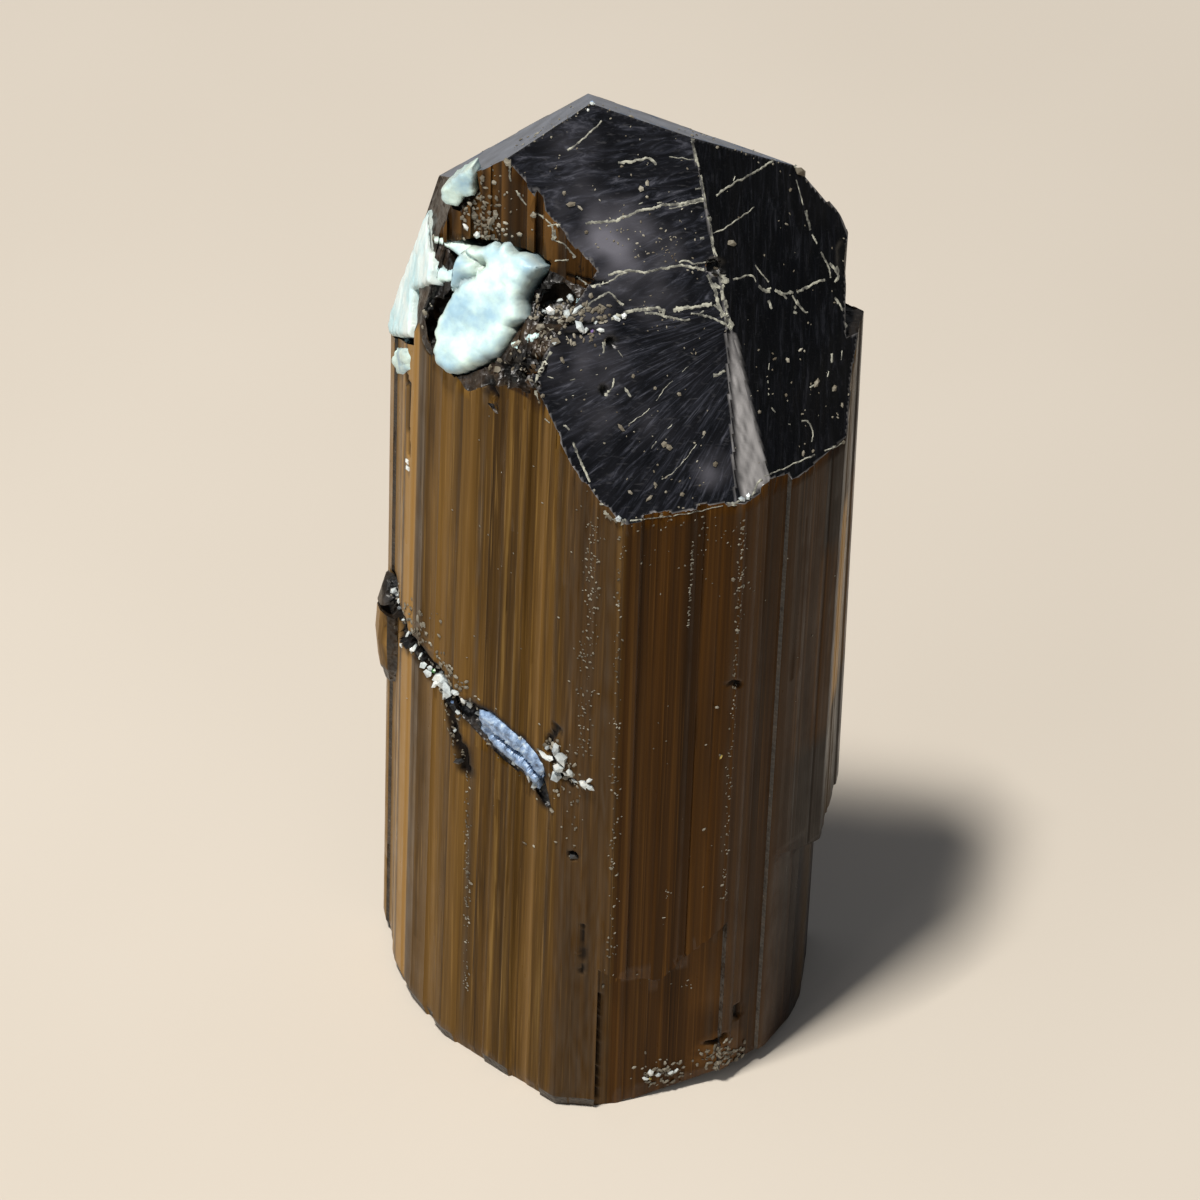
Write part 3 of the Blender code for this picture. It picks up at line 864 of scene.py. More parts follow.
def carve_black(vertex, kinds, layers, front, painted_sheen):
    """Store the masks of a point of the black faces, and give the shift of its fibres or chipped edge."""
    point = vertex.co
    slopes = {round(face.normal.z, 2) for face in vertex.link_faces if face.material_index == BLACK}
    if len(slopes) > 1 or FRACTURE in kinds or FAR in kinds:
        # Pale edges: partly chips, partly a painted highlight
        crest = FAR in kinds
        wear = 0.25 + 0.75 * max(0.0, noise.noise(point * 0.9 + Vector((7, 0, 0))) + 0.25)
        vertex[layers["wear_and_painted_highlight"]] = 0.1 * wear if crest else wear
        chip = max(0.0, noise.noise(point * 1.1) - 0.05) * (0.03 if crest else 0.12)
        return -vertex.normal * chip
    faces_front = vertex.normal.dot(front) > FRONT_MATCH
    # Painted sheen on the front face
    vertex[layers["film_and_sheen"]] = painted_sheen_on_black(point, painted_sheen) if faces_front else 0.0
    # Painted shade on the other black faces
    vertex[layers["painted_shade"]] = 0.0 if faces_front else 1.0
    # Painted reflection on the small facet by the ridge
    if point.z < FACET_TOP:
        vertex[layers["wear_and_painted_highlight"]] = facet_painted_reflection(point)
    return -vertex.normal * fibre_relief(*fibre_place(point, faces_front))


def carve(work, paths, tree):
    """Move every point to its place in the relief, and store the masks of the materials."""
    layers = {name: work.verts.layers.float.new(name) for name in MASKS}
    work.normal_update()
    front = axes_of(FRONT_FACE)[3]
    painted_sheen = [(on_face(pixel, FRONT_FACE), reach, strength) for pixel, reach, strength in PAINTED_SHEEN_SPOTS]
    dark_spots = spots_on(tree, DARK_SPOTS)
    gold_spots = spots_on(tree, GOLD_SPOTS)
    moves = []
    for vertex in work.verts:
        point = vertex.co
        kinds = {face.material_index for face in vertex.link_faces}
        inside, pit, shade = in_paths(point, paths)
        # Painted shade, near black, in and around cracks, in pits and hollows
        vertex[layers["dark"]] = max(shade, spot_shade(point, dark_spots))
        move = -vertex.normal * pit
        if BLACK in kinds:
            across, along = fibre_place(point, vertex.normal.dot(front) > FAN_MATCH)
            vertex[layers["across"]] = across
            vertex[layers["along"]] = along
        if WALL in kinds:
            move += carve_wall(vertex, kinds, layers, gold_spots)
        elif BLACK in kinds:
            move += carve_black(vertex, kinds, layers, front, painted_sheen)
        elif FAR in kinds:
            move -= vertex.normal * 0.5 * fibre_relief(point.x, point.y)
        elif FRACTURE in kinds:
            share = 1.0 if point.z > ROUGH_LEVEL or inside > 0 else 0.35
            # Painted shade on the high broken ground to the right
            if point.x > BROKEN_PAINTED_SHADE[0] and point.z > BROKEN_PAINTED_SHADE[1]:
                vertex[layers["dark"]] = 0.85
            move -= vertex.normal * max(broken_relief(point), 0.0) * share
        if BASE in kinds:
            move.z = 0.0
        moves.append(move)
    for vertex, move in zip(work.verts, moves):
        vertex.co += move


def facet_painted_reflection(point):
    """How strongly the painted reflection shows on the small facet by the ridge at a point."""
    pixel = pixel_of(point)
    left, right, top, bottom = FACET_BOX
    if not (left < pixel[0] < right and top < pixel[1] < bottom):
        return 0.0
    reach = rim_distances(np.array([pixel]), RIDGE_FACET)[0]
    inside = reach if inside_outline(pixel, RIDGE_FACET) else -reach
    painted_reflection = min(max(inside / FACET_EDGE + 0.35, 0.0), 1.0)
    return painted_reflection * (0.75 + 0.6 * wave(pixel[0] * 0.3, pixel[1] * 0.05, 0.0))


def painted_sheen_on_black(point, middles):
    """Painted sheen on the front end face, pale blue-grey in a few soft spots and faint elsewhere."""
    painted_sheen = FRONT_PAINTED_SHEEN
    for middle, reach, strength in middles:
        painted_sheen = max(painted_sheen, strength * max(0.0, 1.0 - (point - middle).length / reach))
    return painted_sheen * (0.75 + 0.9 * noise.noise(point * 0.8))


def finish_mesh(work, name, materials):
    """Turn a mesh in millimetres into an object in metres."""
    bmesh.ops.scale(work, vec=(MM, MM, MM), verts=work.verts)
    mesh = bpy.data.meshes.new(name)
    work.to_mesh(mesh)
    work.free()
    made = bpy.data.objects.new(name, mesh)
    bpy.context.collection.objects.link(made)
    for material in materials:
        mesh.materials.append(material)
    return made


SHARP_ANGLE = 28.0       # degrees between two faces from which their edge is sharp


def crystal_piece(tree):
    """The whole crystal with its fine relief, and a tree of the finished surface."""
    work = sliced_crystal()
    paths = path_points(tree)
    refine_details(work, paths)
    split_large(work)
    carve(work, paths, tree)
    work.normal_update()
    for face in work.faces:
        face.smooth = face.material_index in (BLACK, FAR)
    surface = BVHTree.FromBMesh(work)
    materials = [wall_material(), black_material(), back_face_material(), fracture_material(),
                 wall_material()]
    made = finish_mesh(work, "tourmaline_crystal_surface", materials)
    made.data.set_sharp_from_angle(angle=math.radians(SHARP_ANGLE))
    return made, surface


# Pale masses

def inside_outline(point, outline):
    """Whether a flat point lies in an outline."""
    inside = False
    for k, (ax, ay) in enumerate(outline):
        bx, by = outline[k - 1]
        if (ay > point[1]) != (by > point[1]) and point[0] < (bx - ax) * (point[1] - ay) / (by - ay) + ax:
            inside = not inside
    return inside


def rim_distances(points, outline):
    """Distance of each flat point to the nearest stretch of an outline."""
    best = np.full(len(points), 1e9)
    for k in range(len(outline)):
        start, end = np.array(outline[k - 1]), np.array(outline[k])
        run = end - start
        share = np.clip(((points - start) @ run) / max(run @ run, 1e-12), 0.0, 1.0)
        best = np.minimum(best, np.linalg.norm(points - start - share[:, None] * run, axis=1))
    return best


def ragged(outline, step, wobble, seed):
    """An outline in short steps, with a ragged edge."""
    made = []
    for k in range(len(outline)):
        start, end = Vector(outline[k - 1]), Vector(outline[k])
        count = max(1, int((end - start).length / step))
        side = Vector((-(end - start).y, (end - start).x)).normalized()
        for j in range(count):
            place = start.lerp(end, j / count)
            shift = wave(place.x * 2.1, place.y * 2.1, seed) * wobble
            made.append(tuple(place + side * shift))
    return made


def flat_cells(outline, cell):
    """An outline filled with small cells, as a flat mesh."""
    work = bmesh.new()
    work.faces.layers.int.new("group")
    corners = [work.verts.new((x, y, 0.0)) for x, y in outline]
    face = work.faces.new(corners)
    filled = bmesh.ops.triangulate(work, faces=[face])["faces"]
    grid_faces(work, filled, Vector((1, 0, 0)), Vector((0, 1, 0)), cell)
    return work


RAG_STEP = 0.22          # length of a step of a pale mass's ragged outline
RAG_WOBBLE = 0.14
HOLE_WOBBLE = 0.1
HOLE_SINK = 0.4          # a hole in a pale mass goes this deep below its face


def pale_mass(name, material, pixels, face, height, root, rounding, cell, rough, seed, holes=()):
    """A lumpy mass standing out of a face: its outline is given in pixels cast onto the face's plane."""
    origin, along, up, normal = axes_of(face)
    outline = ragged([in_face(pixel, face) for pixel in pixels], RAG_STEP, RAG_WOBBLE, seed)
    work = flat_cells(outline, cell)
    flat = np.array([vertex.co[:2] for vertex in work.verts])
    reach = rim_distances(flat, outline)
    rim = work.verts.layers.float.new("rim")
    for hole in holes:
        gap = ragged([in_face(pixel, face) for pixel in hole], RAG_STEP, HOLE_WOBBLE, seed + 3)
        away = rim_distances(flat, gap)
        for k, vertex in enumerate(work.verts):
            reach[k] = -away[k] if inside_outline(flat[k], gap) else min(reach[k], away[k])
    boundary = [edge for edge in work.edges if edge.is_boundary]
    skirt = bmesh.ops.extrude_edge_only(work, edges=boundary)["geom"]
    sunk = {item for item in skirt if isinstance(item, bmesh.types.BMVert)}
    work.verts.ensure_lookup_table()
    for k, vertex in enumerate(work.verts):
        x, y = vertex.co.x, vertex.co.y
        place = origin + along * x + up * y
        if vertex in sunk:
            vertex.co = place - normal * root
            continue
        part = reach[k] / rounding
        if part < 0:
            level = -HOLE_SINK * min(-part * 3, 1.0)
        else:
            level = math.sqrt(max(0.0, 1.0 - (1.0 - min(part, 1.0)) ** 2))
        lumps = noise.noise(place * 0.8 + Vector((seed, 0, 0))) * 0.9 + noise.noise(place * 2.1) * 0.6
        grain = noise.noise(place * 5.0) * 0.35
        vertex.co = place + normal * (height * level + rough * (lumps + grain) * min(max(part, 0.0), 1.0))
        vertex[rim] = 1.0 - min(max(part, 0.0) * 2.0, 1.0)
    bottom = [edge for edge in work.edges if edge.is_boundary]
    bmesh.ops.contextual_create(work, geom=bottom)
    bmesh.ops.recalc_face_normals(work, faces=work.faces)
    for item in work.faces:
        item.smooth = True
    return finish_mesh(work, name, [material])


CRUST_SPAN = 2.6         # a crust bridges steps of the ground up to this high
CRUST_SINK = 0.12        # its rim lies this deep in the ground
CRUST_RAG = (3.0, 2.6)   # step and wobble of its ragged outline, in pixels


def draped(work, tree, pixels, height, cell, rounding, rough, seed):
    """Add a thin ragged crust that lies on the surface under an outline of pixels."""
    outline = ragged(pixels, *CRUST_RAG, seed)
    sheet = flat_cells(outline, cell)
    flat = np.array([vertex.co[:2] for vertex in sheet.verts])
    reach = rim_distances(flat, outline)
    made = {}
    for k, vertex in enumerate(sheet.verts):
        place, normal = cast(tree, flat[k])
        if place is None:
            continue
        part = min(reach[k] / rounding, 1.0)
        lumps = noise.noise(place * 1.6 + Vector((seed, 0, 0))) + 0.6 * noise.noise(place * 4.0)
        rise = height * math.sqrt(part) - CRUST_SINK * (1.0 - part) + rough * lumps * part
        made[vertex] = work.verts.new(place + normal * rise)
    for face in sheet.faces:
        corners = [made[vertex] for vertex in face.verts if vertex in made]
        if len(corners) == len(face.verts):
            spread = max((a.co - b.co).length for a in corners for b in corners)
            if spread < CRUST_SPAN:
                added = work.faces.new(corners)
                added.smooth = True
    sheet.free()


# Veins, grains and dust

VEIN_SWELL = 1.5         # how much wider than the half widths below a vein is drawn
VEIN_LIFT = 0.02         # height of its crest
VEIN_SINK = 0.03         # depth of its rims
VEIN_JUMP = 1.5          # a vein is broken where the ground steps by more than this


def side_share(k, seed, layer):
    """How far a vein reaches to one side at a step along it, as a share of its half width."""
    return 0.7 + 0.9 * abs(wave(k * 0.6, seed, layer)) + 0.35 * wave(k * 1.9, seed, layer + 1)


def ribbon(work, tree, pixels, half_width, seed, gaps):
    """A thin ragged ribbon of vein matter along a line of pixels on the surface."""
    rows = []
    for k, pixel in enumerate(along_pixels(pixels, 2.0)):
        sway = wave(k * 0.35, seed, 1.0) * 1.3
        place, normal = cast(tree, (pixel[0] + sway * 0.4, pixel[1] + sway))
        present = wave(k * 0.22, seed, 8.0) + 0.5 > gaps
        rows.append((place, normal) if place and present else None)
    last = None
    for k in range(1, len(rows) - 1):
        if not (rows[k] and rows[k - 1] and rows[k + 1]):
            last = None
            continue
        place, normal = rows[k]
        run = rows[k + 1][0] - rows[k - 1][0]
        if run.length > VEIN_JUMP:
            last = None
            continue
        side = normal.cross(run).normalized()
        left = half_width * side_share(k, seed, 2.0)
        right = half_width * side_share(k, seed, 5.0)
        lift = VEIN_LIFT * (1.0 + 0.8 * wave(k * 0.8, seed, 7.0))
        row = [work.verts.new(place + side * left - normal * VEIN_SINK),
               work.verts.new(place + normal * lift),
               work.verts.new(place - side * right - normal * VEIN_SINK)]
        if last:
            for a, b in ((0, 1), (1, 2)):
                work.faces.new((last[a], last[b], row[b], row[a]))
        last = row


CRUMB_SIDES = 5
DUST_FLATNESS = 0.6
GRAIN_FLATNESS = 0.8


def crumb(work, place, normal, size, draw, flatten):
    """An irregular grain that sits on the surface."""
    turn = Matrix.Rotation(draw.uniform(0, math.tau), 3, normal)
    along = turn @ normal.orthogonal().normalized()
    across = normal.cross(along)
    stretch = draw.uniform(0.6, 1.5)
    centre = place + normal * size * flatten * 0.35
    rings = []
    for level, share in ((-0.6, 0.75), (0.25, 1.0)):
        ring = []
        for k in range(CRUMB_SIDES):
            bend = math.tau * (k + 0.3 * draw.random()) / CRUMB_SIDES
            out = share * size * draw.uniform(0.75, 1.15)
            corner = centre + along * math.cos(bend) * out * stretch + across * math.sin(bend) * out / stretch
            ring.append(work.verts.new(corner + normal * level * size * flatten))
        rings.append(ring)
    low, high = rings
    top = work.verts.new(centre + normal * size * flatten * draw.uniform(0.7, 1.0))
    bottom = work.verts.new(centre - normal * size * flatten)
    for k in range(CRUMB_SIDES):
        after = (k + 1) % CRUMB_SIDES
        work.faces.new((low[k], low[after], high[after], high[k]))
        work.faces.new((high[k], high[after], top))
        work.faces.new((low[after], low[k], bottom))


# Vein lines: pixels, half width in millimetres, share of the line that is missing
VEINS = [
    ([(584, 225), (590, 223), (600, 222), (613, 221), (627, 216), (639, 211), (657, 207), (663, 205),
      (679, 204), (706, 198)], 0.15, 0.0),
    ([(667, 209), (685, 205), (706, 201)], 0.07, 0.1), ([(655, 204), (664, 202)], 0.06, 0.0),
    ([(708, 197), (718, 194), (728, 187), (734, 183), (746, 177), (760, 169), (773, 161), (785, 158),
      (791, 162)], 0.11, 0.05),
    ([(732, 182), (736, 174)], 0.05, 0.1),
    ([(692, 137), (696, 155), (701, 175), (705, 197), (708, 216), (712, 232), (714, 248),
      (718, 258)], 0.1, 0.0),
    ([(606, 276), (619, 272), (633, 271), (643, 272), (659, 269), (671, 267), (683, 265), (694, 268),
      (706, 269)], 0.13, 0.0),
    ([(677, 264), (686, 260), (694, 264), (702, 263), (708, 262), (718, 260)], 0.09, 0.0),
    ([(582, 310), (592, 302), (603, 296), (610, 293), (617, 300), (625, 306)], 0.1, 0.0),
    ([(609, 319), (619, 316), (629, 311), (643, 310), (655, 308), (667, 311), (679, 309), (690, 308),
      (702, 306), (714, 304)], 0.17, 0.0),
    ([(643, 314), (655, 313), (667, 317), (679, 319), (688, 320), (698, 315), (710, 317), (722, 323),
      (730, 327), (734, 329)], 0.12, 0.0),
    ([(684, 312), (697, 314), (706, 310), (716, 311)], 0.08, 0.1),
    ([(707, 281), (714, 282), (722, 281), (731, 280)], 0.26, 0.0),
    ([(712, 284), (720, 287), (726, 284)], 0.2, 0.0),
    ([(731, 281), (742, 277), (753, 276), (757, 284), (765, 289), (773, 288)], 0.1, 0.0),
    ([(706, 273), (711, 282), (715, 290), (717, 300), (721, 310), (729, 322), (733, 330)], 0.16, 0.0),
    ([(722, 284), (724, 299), (727, 315), (731, 326)], 0.12, 0.0),
    ([(712, 303), (721, 311), (729, 319)], 0.1, 0.1), ([(727, 326), (733, 330), (731, 335)], 0.17, 0.0),
    ([(754, 264), (758, 269), (762, 274), (770, 283)], 0.08, 0.1),
    ([(757, 285), (765, 291), (772, 290)], 0.18, 0.0), ([(765, 290), (769, 301), (772, 311)], 0.14, 0.0),
    ([(773, 289), (783, 294), (791, 292), (796, 295)], 0.15, 0.0),
    ([(795, 294), (805, 288), (817, 282), (827, 280)], 0.14, 0.0),
    ([(780, 293), (790, 301), (797, 309)], 0.12, 0.1),
    ([(791, 293), (797, 303), (805, 311), (815, 318)], 0.11, 0.05),
    ([(796, 298), (803, 310), (810, 313)], 0.08, 0.1), ([(791, 311), (799, 314)], 0.12, 0.0),
    ([(784, 158), (791, 163), (797, 170)], 0.1, 0.1), ([(796, 178), (800, 193), (804, 208)], 0.07, 0.15),
    ([(805, 208), (808, 220), (811, 232)], 0.15, 0.0),
    ([(811, 232), (817, 244), (823, 256), (829, 268), (831, 280)], 0.1, 0.1),
    ([(828, 262), (834, 268), (838, 276), (833, 284)], 0.15, 0.15),
    ([(824, 190), (829, 194), (834, 199)], 0.2, 0.0), ([(833, 296), (839, 303), (844, 313)], 0.13, 0.0),
    ([(823, 300), (833, 295)], 0.08, 0.1), ([(842, 311), (845, 322), (846, 330)], 0.06, 0.2),
    ([(838, 340), (842, 350), (841, 362)], 0.06, 0.3),
    ([(712, 235), (728, 226), (738, 219), (756, 206)], 0.07, 0.2), ([(698, 239), (706, 237)], 0.13, 0.0),
    ([(616, 163), (627, 162), (639, 160), (647, 158), (655, 163), (655, 167)], 0.14, 0.0),
    ([(653, 150), (658, 151)], 0.13, 0.0),
    ([(603, 119), (594, 129), (584, 138), (573, 147), (566, 152)], 0.09, 0.2),
    ([(667, 157), (680, 158), (696, 160)], 0.05, 0.25), ([(641, 189), (646, 190)], 0.14, 0.0),
    ([(693, 189), (703, 188)], 0.1, 0.0), ([(637, 205), (648, 200)], 0.05, 0.2),
    ([(510, 163), (510, 179), (517, 192), (523, 201), (531, 210), (542, 217), (552, 226), (554, 239),
      (564, 244), (571, 252), (577, 259)], 0.12, 0.05),
    ([(535, 385), (537, 378), (543, 366), (552, 350)], 0.13, 0.1),
    ([(541, 410), (538, 400), (535, 388)], 0.12, 0.2),
    ([(543, 417), (552, 424), (567, 427), (572, 438)], 0.1, 0.2),
    ([(572, 440), (580, 460), (590, 482), (602, 507)], 0.11, 0.25),
    ([(602, 508), (609, 517), (618, 520), (628, 521)], 0.16, 0.0),
    ([(628, 521), (655, 518), (690, 513), (725, 505)], 0.08, 0.1),
    ([(725, 505), (740, 501), (752, 495), (757, 484), (764, 478)], 0.13, 0.05),
    ([(762, 478), (780, 470), (797, 462), (815, 455), (832, 448), (848, 441)], 0.07, 0.2),
    ([(546, 227), (556, 224), (562, 226)], 0.1, 0.0), ([(553, 263), (560, 260), (571, 260)], 0.07, 0.0),
    ([(711, 376), (718, 374), (727, 370)], 0.14, 0.0), ([(808, 390), (814, 385), (818, 382)], 0.08, 0.0),
    ([(831, 351), (832, 358), (831, 365)], 0.15, 0.0), ([(829, 369), (827, 379)], 0.06, 0.1),
    ([(770, 405), (780, 418), (788, 424), (797, 422), (807, 421), (812, 429), (813, 438),
      (811, 444)], 0.08, 0.2),
    ([(773, 352), (769, 366), (768, 390), (772, 402)], 0.05, 0.4),
    ([(614, 376), (613, 386), (607, 394), (604, 398)], 0.08, 0.0),
    ([(624, 386), (628, 393), (633, 399)], 0.12, 0.0), ([(603, 340), (604, 350), (603, 356)], 0.1, 0.0),
    ([(617, 349), (624, 359)], 0.05, 0.0), ([(545, 375), (560, 380), (575, 379), (600, 374)], 0.04, 0.3),
    ([(549, 400), (566, 398), (584, 392)], 0.04, 0.3),
    ([(620, 430), (648, 410), (668, 385), (690, 365)], 0.035, 0.3),
    ([(660, 480), (676, 470), (700, 440), (716, 420)], 0.04, 0.3),
    ([(650, 450), (666, 430), (686, 416)], 0.05, 0.4),
    ([(575, 275), (590, 285), (606, 283), (620, 275), (630, 272)], 0.09, 0.15),
]

MOST_DUST_SPREAD = 12    # most that a line of dust spreads up and down in pixels
# Dust along lines of pixels: from, to, spread in pixels, count, size
DUST_LINES = [
    ((621, 530), (612, 960), 2.6, 120, 0.075), ((594, 520), (590, 640), 4.5, 80, 0.075),
    ((588, 640), (582, 760), 6.0, 70, 0.075), ((743, 520), (739, 622), 2.0, 60, 0.075),
    ((737, 622), (731, 760), 1.6, 46, 0.07), ((730, 760), (723, 905), 2.2, 50, 0.07),
    ((693, 540), (688, 628), 0.6, 70, 0.06), ((700, 520), (706, 560), 4.0, 10, 0.06),
    ((668, 890), (664, 925), 1.2, 10, 0.06), ((468, 770), (466, 990), 1.4, 100, 0.075),
    ((578, 780), (574, 860), 5.0, 14, 0.07), ((636, 520), (742, 535), 7.0, 30, 0.06),
    ((645, 560), (742, 590), 16.0, 16, 0.06), ((430, 600), (560, 900), 60.0, 16, 0.07),
    ((400, 460), (560, 620), 40.0, 12, 0.06), ((500, 420), (590, 560), 26.0, 14, 0.06),
    ((650, 700), (700, 900), 30.0, 10, 0.06), ((760, 540), (820, 700), 30.0, 6, 0.06),
    ((556, 150), (690, 240), 34.0, 46, 0.06), ((560, 120), (680, 150), 14.0, 12, 0.06),
    ((600, 235), (700, 262), 10.0, 60, 0.06), ((560, 350), (700, 480), 40.0, 40, 0.06),
    ((640, 470), (690, 500), 12.0, 16, 0.08), ((750, 330), (830, 430), 26.0, 34, 0.065),
    ((730, 180), (820, 300), 30.0, 18, 0.06), ((620, 300), (700, 345), 10.0, 24, 0.06),
    ((490, 150), (520, 235), 12.0, 26, 0.08), ((530, 312), (605, 314), 7.0, 90, 0.15),
    ((536, 335), (600, 338), 6.0, 40, 0.12), ((500, 350), (545, 385), 9.0, 26, 0.11),
    ((468, 195), (494, 242), 10.0, 110, 0.14), ((586, 975), (700, 985), 3.0, 12, 0.06),
    ((645, 1074), (680, 1070), 6.0, 22, 0.12), ((500, 500), (560, 780), 30.0, 10, 0.07),
    ((850, 200), (845, 300), 4.0, 10, 0.08), ((395, 590), (470, 708), 6.0, 120, 0.15),
    ((448, 705), (464, 765), 3.0, 24, 0.1), ((548, 740), (575, 785), 7.0, 60, 0.15),
    ((476, 716), (545, 790), 6.0, 30, 0.1), ((512, 150), (590, 104), 2.5, 26, 0.08),
    ((600, 104), (800, 165), 2.5, 26, 0.07), ((707, 1062), (737, 1052), 7.0, 90, 0.16),
    ((645, 1074), (680, 1070), 7.0, 50, 0.15), ((600, 90), (830, 190), 2.0, 20, 0.07),
]

# Single pale grains: pixel, size
DUST_SPOTS = [
    (508, 162, 0.27), (571, 204, 0.22), (580, 208, 0.13), (564, 193, 0.14), (631, 117, 0.15),
    (571, 107, 0.1), (537, 134, 0.12), (521, 140, 0.13), (731, 243, 0.28), (647, 183, 0.15),
    (641, 189, 0.17), (647, 197, 0.1), (786, 224, 0.1), (715, 268, 0.14), (799, 171, 0.36),
    (790, 190, 0.13), (534, 215, 0.22), (586, 232, 0.14), (692, 136, 0.14), (717, 147, 0.1),
    (562, 360, 0.17), (621, 428, 0.19), (679, 394, 0.14), (664, 444, 0.22), (669, 447, 0.2),
    (633, 376, 0.13), (655, 388, 0.12), (704, 433, 0.13), (715, 464, 0.17), (682, 494, 0.15),
    (649, 498, 0.17), (655, 484, 0.13), (630, 492, 0.14), (816, 383, 0.24), (834, 388, 0.22),
    (787, 360, 0.15), (800, 350, 0.12), (774, 359, 0.12), (842, 405, 0.13), (759, 412, 0.13),
    (786, 395, 0.11), (803, 453, 0.15), (802, 414, 0.1), (843, 442, 0.16), (813, 451, 0.12),
    (661, 516, 0.13), (617, 520, 0.22), (610, 517, 0.2), (733, 579, 0.16), (737, 607, 0.13),
    (737, 630, 0.14), (717, 707, 0.12), (641, 563, 0.1), (720, 755, 0.12), (599, 588, 0.12),
    (525, 843, 0.12), (534, 846, 0.11), (556, 842, 0.11), (552, 810, 0.18), (471, 883, 0.15),
    (468, 872, 0.13), (704, 829, 0.12), (441, 621, 0.14), (603, 986, 0.12), (611, 868, 0.15),
    (426, 314, 0.24), (423, 327, 0.14), (431, 305, 0.12), (434, 238, 0.2), (442, 241, 0.18),
    (474, 214, 0.3), (491, 220, 0.34), (496, 213, 0.26), (482, 198, 0.24), (461, 201, 0.26),
    (497, 198, 0.18), (494, 182, 0.18), (483, 178, 0.22), (493, 236, 0.2), (520, 234, 0.18),
    (528, 296, 0.18), (517, 344, 0.24), (498, 370, 0.26), (491, 368, 0.22), (537, 386, 0.2),
    (542, 396, 0.17), (555, 341, 0.25), (540, 327, 0.27), (497, 352, 0.15), (500, 360, 0.18),
]
# Clear bright grains: pixel, size
CLEAR_SPOTS = [
    (445, 681, 0.5), (449, 689, 0.5), (440, 676, 0.4), (445, 693, 0.34), (398, 594, 0.2), (399, 600, 0.22),
    (400, 607, 0.2), (404, 621, 0.18), (402, 645, 0.18), (412, 649, 0.2), (421, 655, 0.2), (424, 665, 0.26),
    (430, 668, 0.22), (557, 749, 0.42), (562, 757, 0.48), (560, 766, 0.5), (557, 775, 0.4),
    (584, 783, 0.34), (589, 786, 0.3), (394, 590, 0.26), (408, 634, 0.24), (416, 648, 0.28),
    (429, 673, 0.3), (435, 684, 0.26), (456, 692, 0.26), (463, 700, 0.3), (470, 704, 0.24),
    (458, 712, 0.22), (545, 755, 0.26), (519, 737, 0.22), (505, 727, 0.22), (515, 762, 0.2),
    (570, 772, 0.3), (551, 758, 0.26), (589, 780, 0.2), (575, 780, 0.18), (566, 773, 0.18),
    (547, 747, 0.18), (479, 713, 0.2), (535, 785, 0.26), (529, 776, 0.26), (650, 1072, 0.26),
    (658, 1074, 0.22), (670, 1072, 0.2), (645, 1078, 0.2), (676, 1070, 0.16), (455, 730, 0.15),
    (568, 315, 0.3), (579, 327, 0.32), (577, 309, 0.24), (550, 311, 0.26), (572, 297, 0.3), (601, 330, 0.2),
    (555, 342, 0.2), (616, 318, 0.2), (624, 316, 0.2), (543, 312, 0.2), (560, 300, 0.18), (592, 104, 0.15),
    (588, 110, 0.1), (478, 234, 0.26), (466, 226, 0.2), (409, 468, 0.2), (408, 461, 0.16), (741, 499, 0.2),
    (748, 496, 0.18), (618, 519, 0.2), (585, 330, 0.2), (595, 322, 0.16),
]

# Grains of a colour of their own: name, colour, then pixel and size of each
COLOURED_GRAINS = [
    ("green_grain", (0.1, 0.32, 0.1), [(434, 671, 0.2)]),
    ("yellow_grains", (0.55, 0.42, 0.1), [(421, 655, 0.16), (721, 756, 0.14), (816, 383, 0.15),
                                          (650, 1078, 0.14), (441, 665, 0.13)]),
    ("blue_grains", (0.25, 0.4, 0.7), [(592, 103, 0.14), (452, 702, 0.15), (584, 782, 0.16)]),
    ("violet_grain", (0.3, 0.2, 0.5), [(592, 331, 0.14)]),
    ("dark_grains", (0.02, 0.02, 0.02), [(574, 855, 0.3), (459, 760, 0.3), (480, 725, 0.2)]),
]


# Pieces

def riding(piece, replaced=None):
    """Tie a piece to the crystal; it may stand for a solid, which is then hidden."""
    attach(piece, "root")
    if replaced:
        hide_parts(replaced)
    return piece


# Outlines of the pale masses and crusts in pixels
BLOB_PIXELS = [
    (543, 265), (531, 254), (523, 251), (515, 252), (513, 241), (506, 241), (502, 246), (497, 240),
    (488, 246), (480, 247), (472, 246), (466, 251), (476, 259), (482, 263), (478, 276), (466, 282),
    (456, 293), (450, 305), (441, 319), (438, 330), (439, 340), (436, 352), (440, 364), (450, 373),
    (458, 375), (472, 370), (485, 364), (498, 357), (507, 348), (513, 338), (514, 327), (525, 319),
    (524, 309), (523, 300), (528, 287), (536, 276),
]
BLOB_HOLES = [[(482, 262), (487, 261), (489, 265), (484, 270)]]
BRIDGE_PIXELS = [
    (434, 235), (445, 237), (451, 242), (459, 239), (466, 244), (474, 246), (484, 250), (480, 262),
    (484, 266), (480, 277), (468, 278), (455, 283), (445, 282), (431, 285), (434, 270), (436, 262),
    (446, 268), (461, 267), (466, 264), (458, 255), (450, 249), (441, 245), (435, 243),
]
BAND_PIXELS = [
    (431, 209), (426, 219), (419, 239), (410, 265), (402, 285), (394, 311), (390, 325), (391, 335),
    (411, 337), (413, 325), (413, 311), (415, 290), (431, 284), (434, 262), (434, 252), (431, 246),
    (430, 226),
]
PATCH_PIXELS = [
    (392, 352), (400, 346), (411, 348), (412, 370), (403, 376), (394, 373), (391, 362),
]
CHIP_PIXELS = [
    (441, 190), (454, 177), (472, 166), (474, 174), (474, 195), (464, 196), (458, 206), (446, 204),
    (442, 198),
]
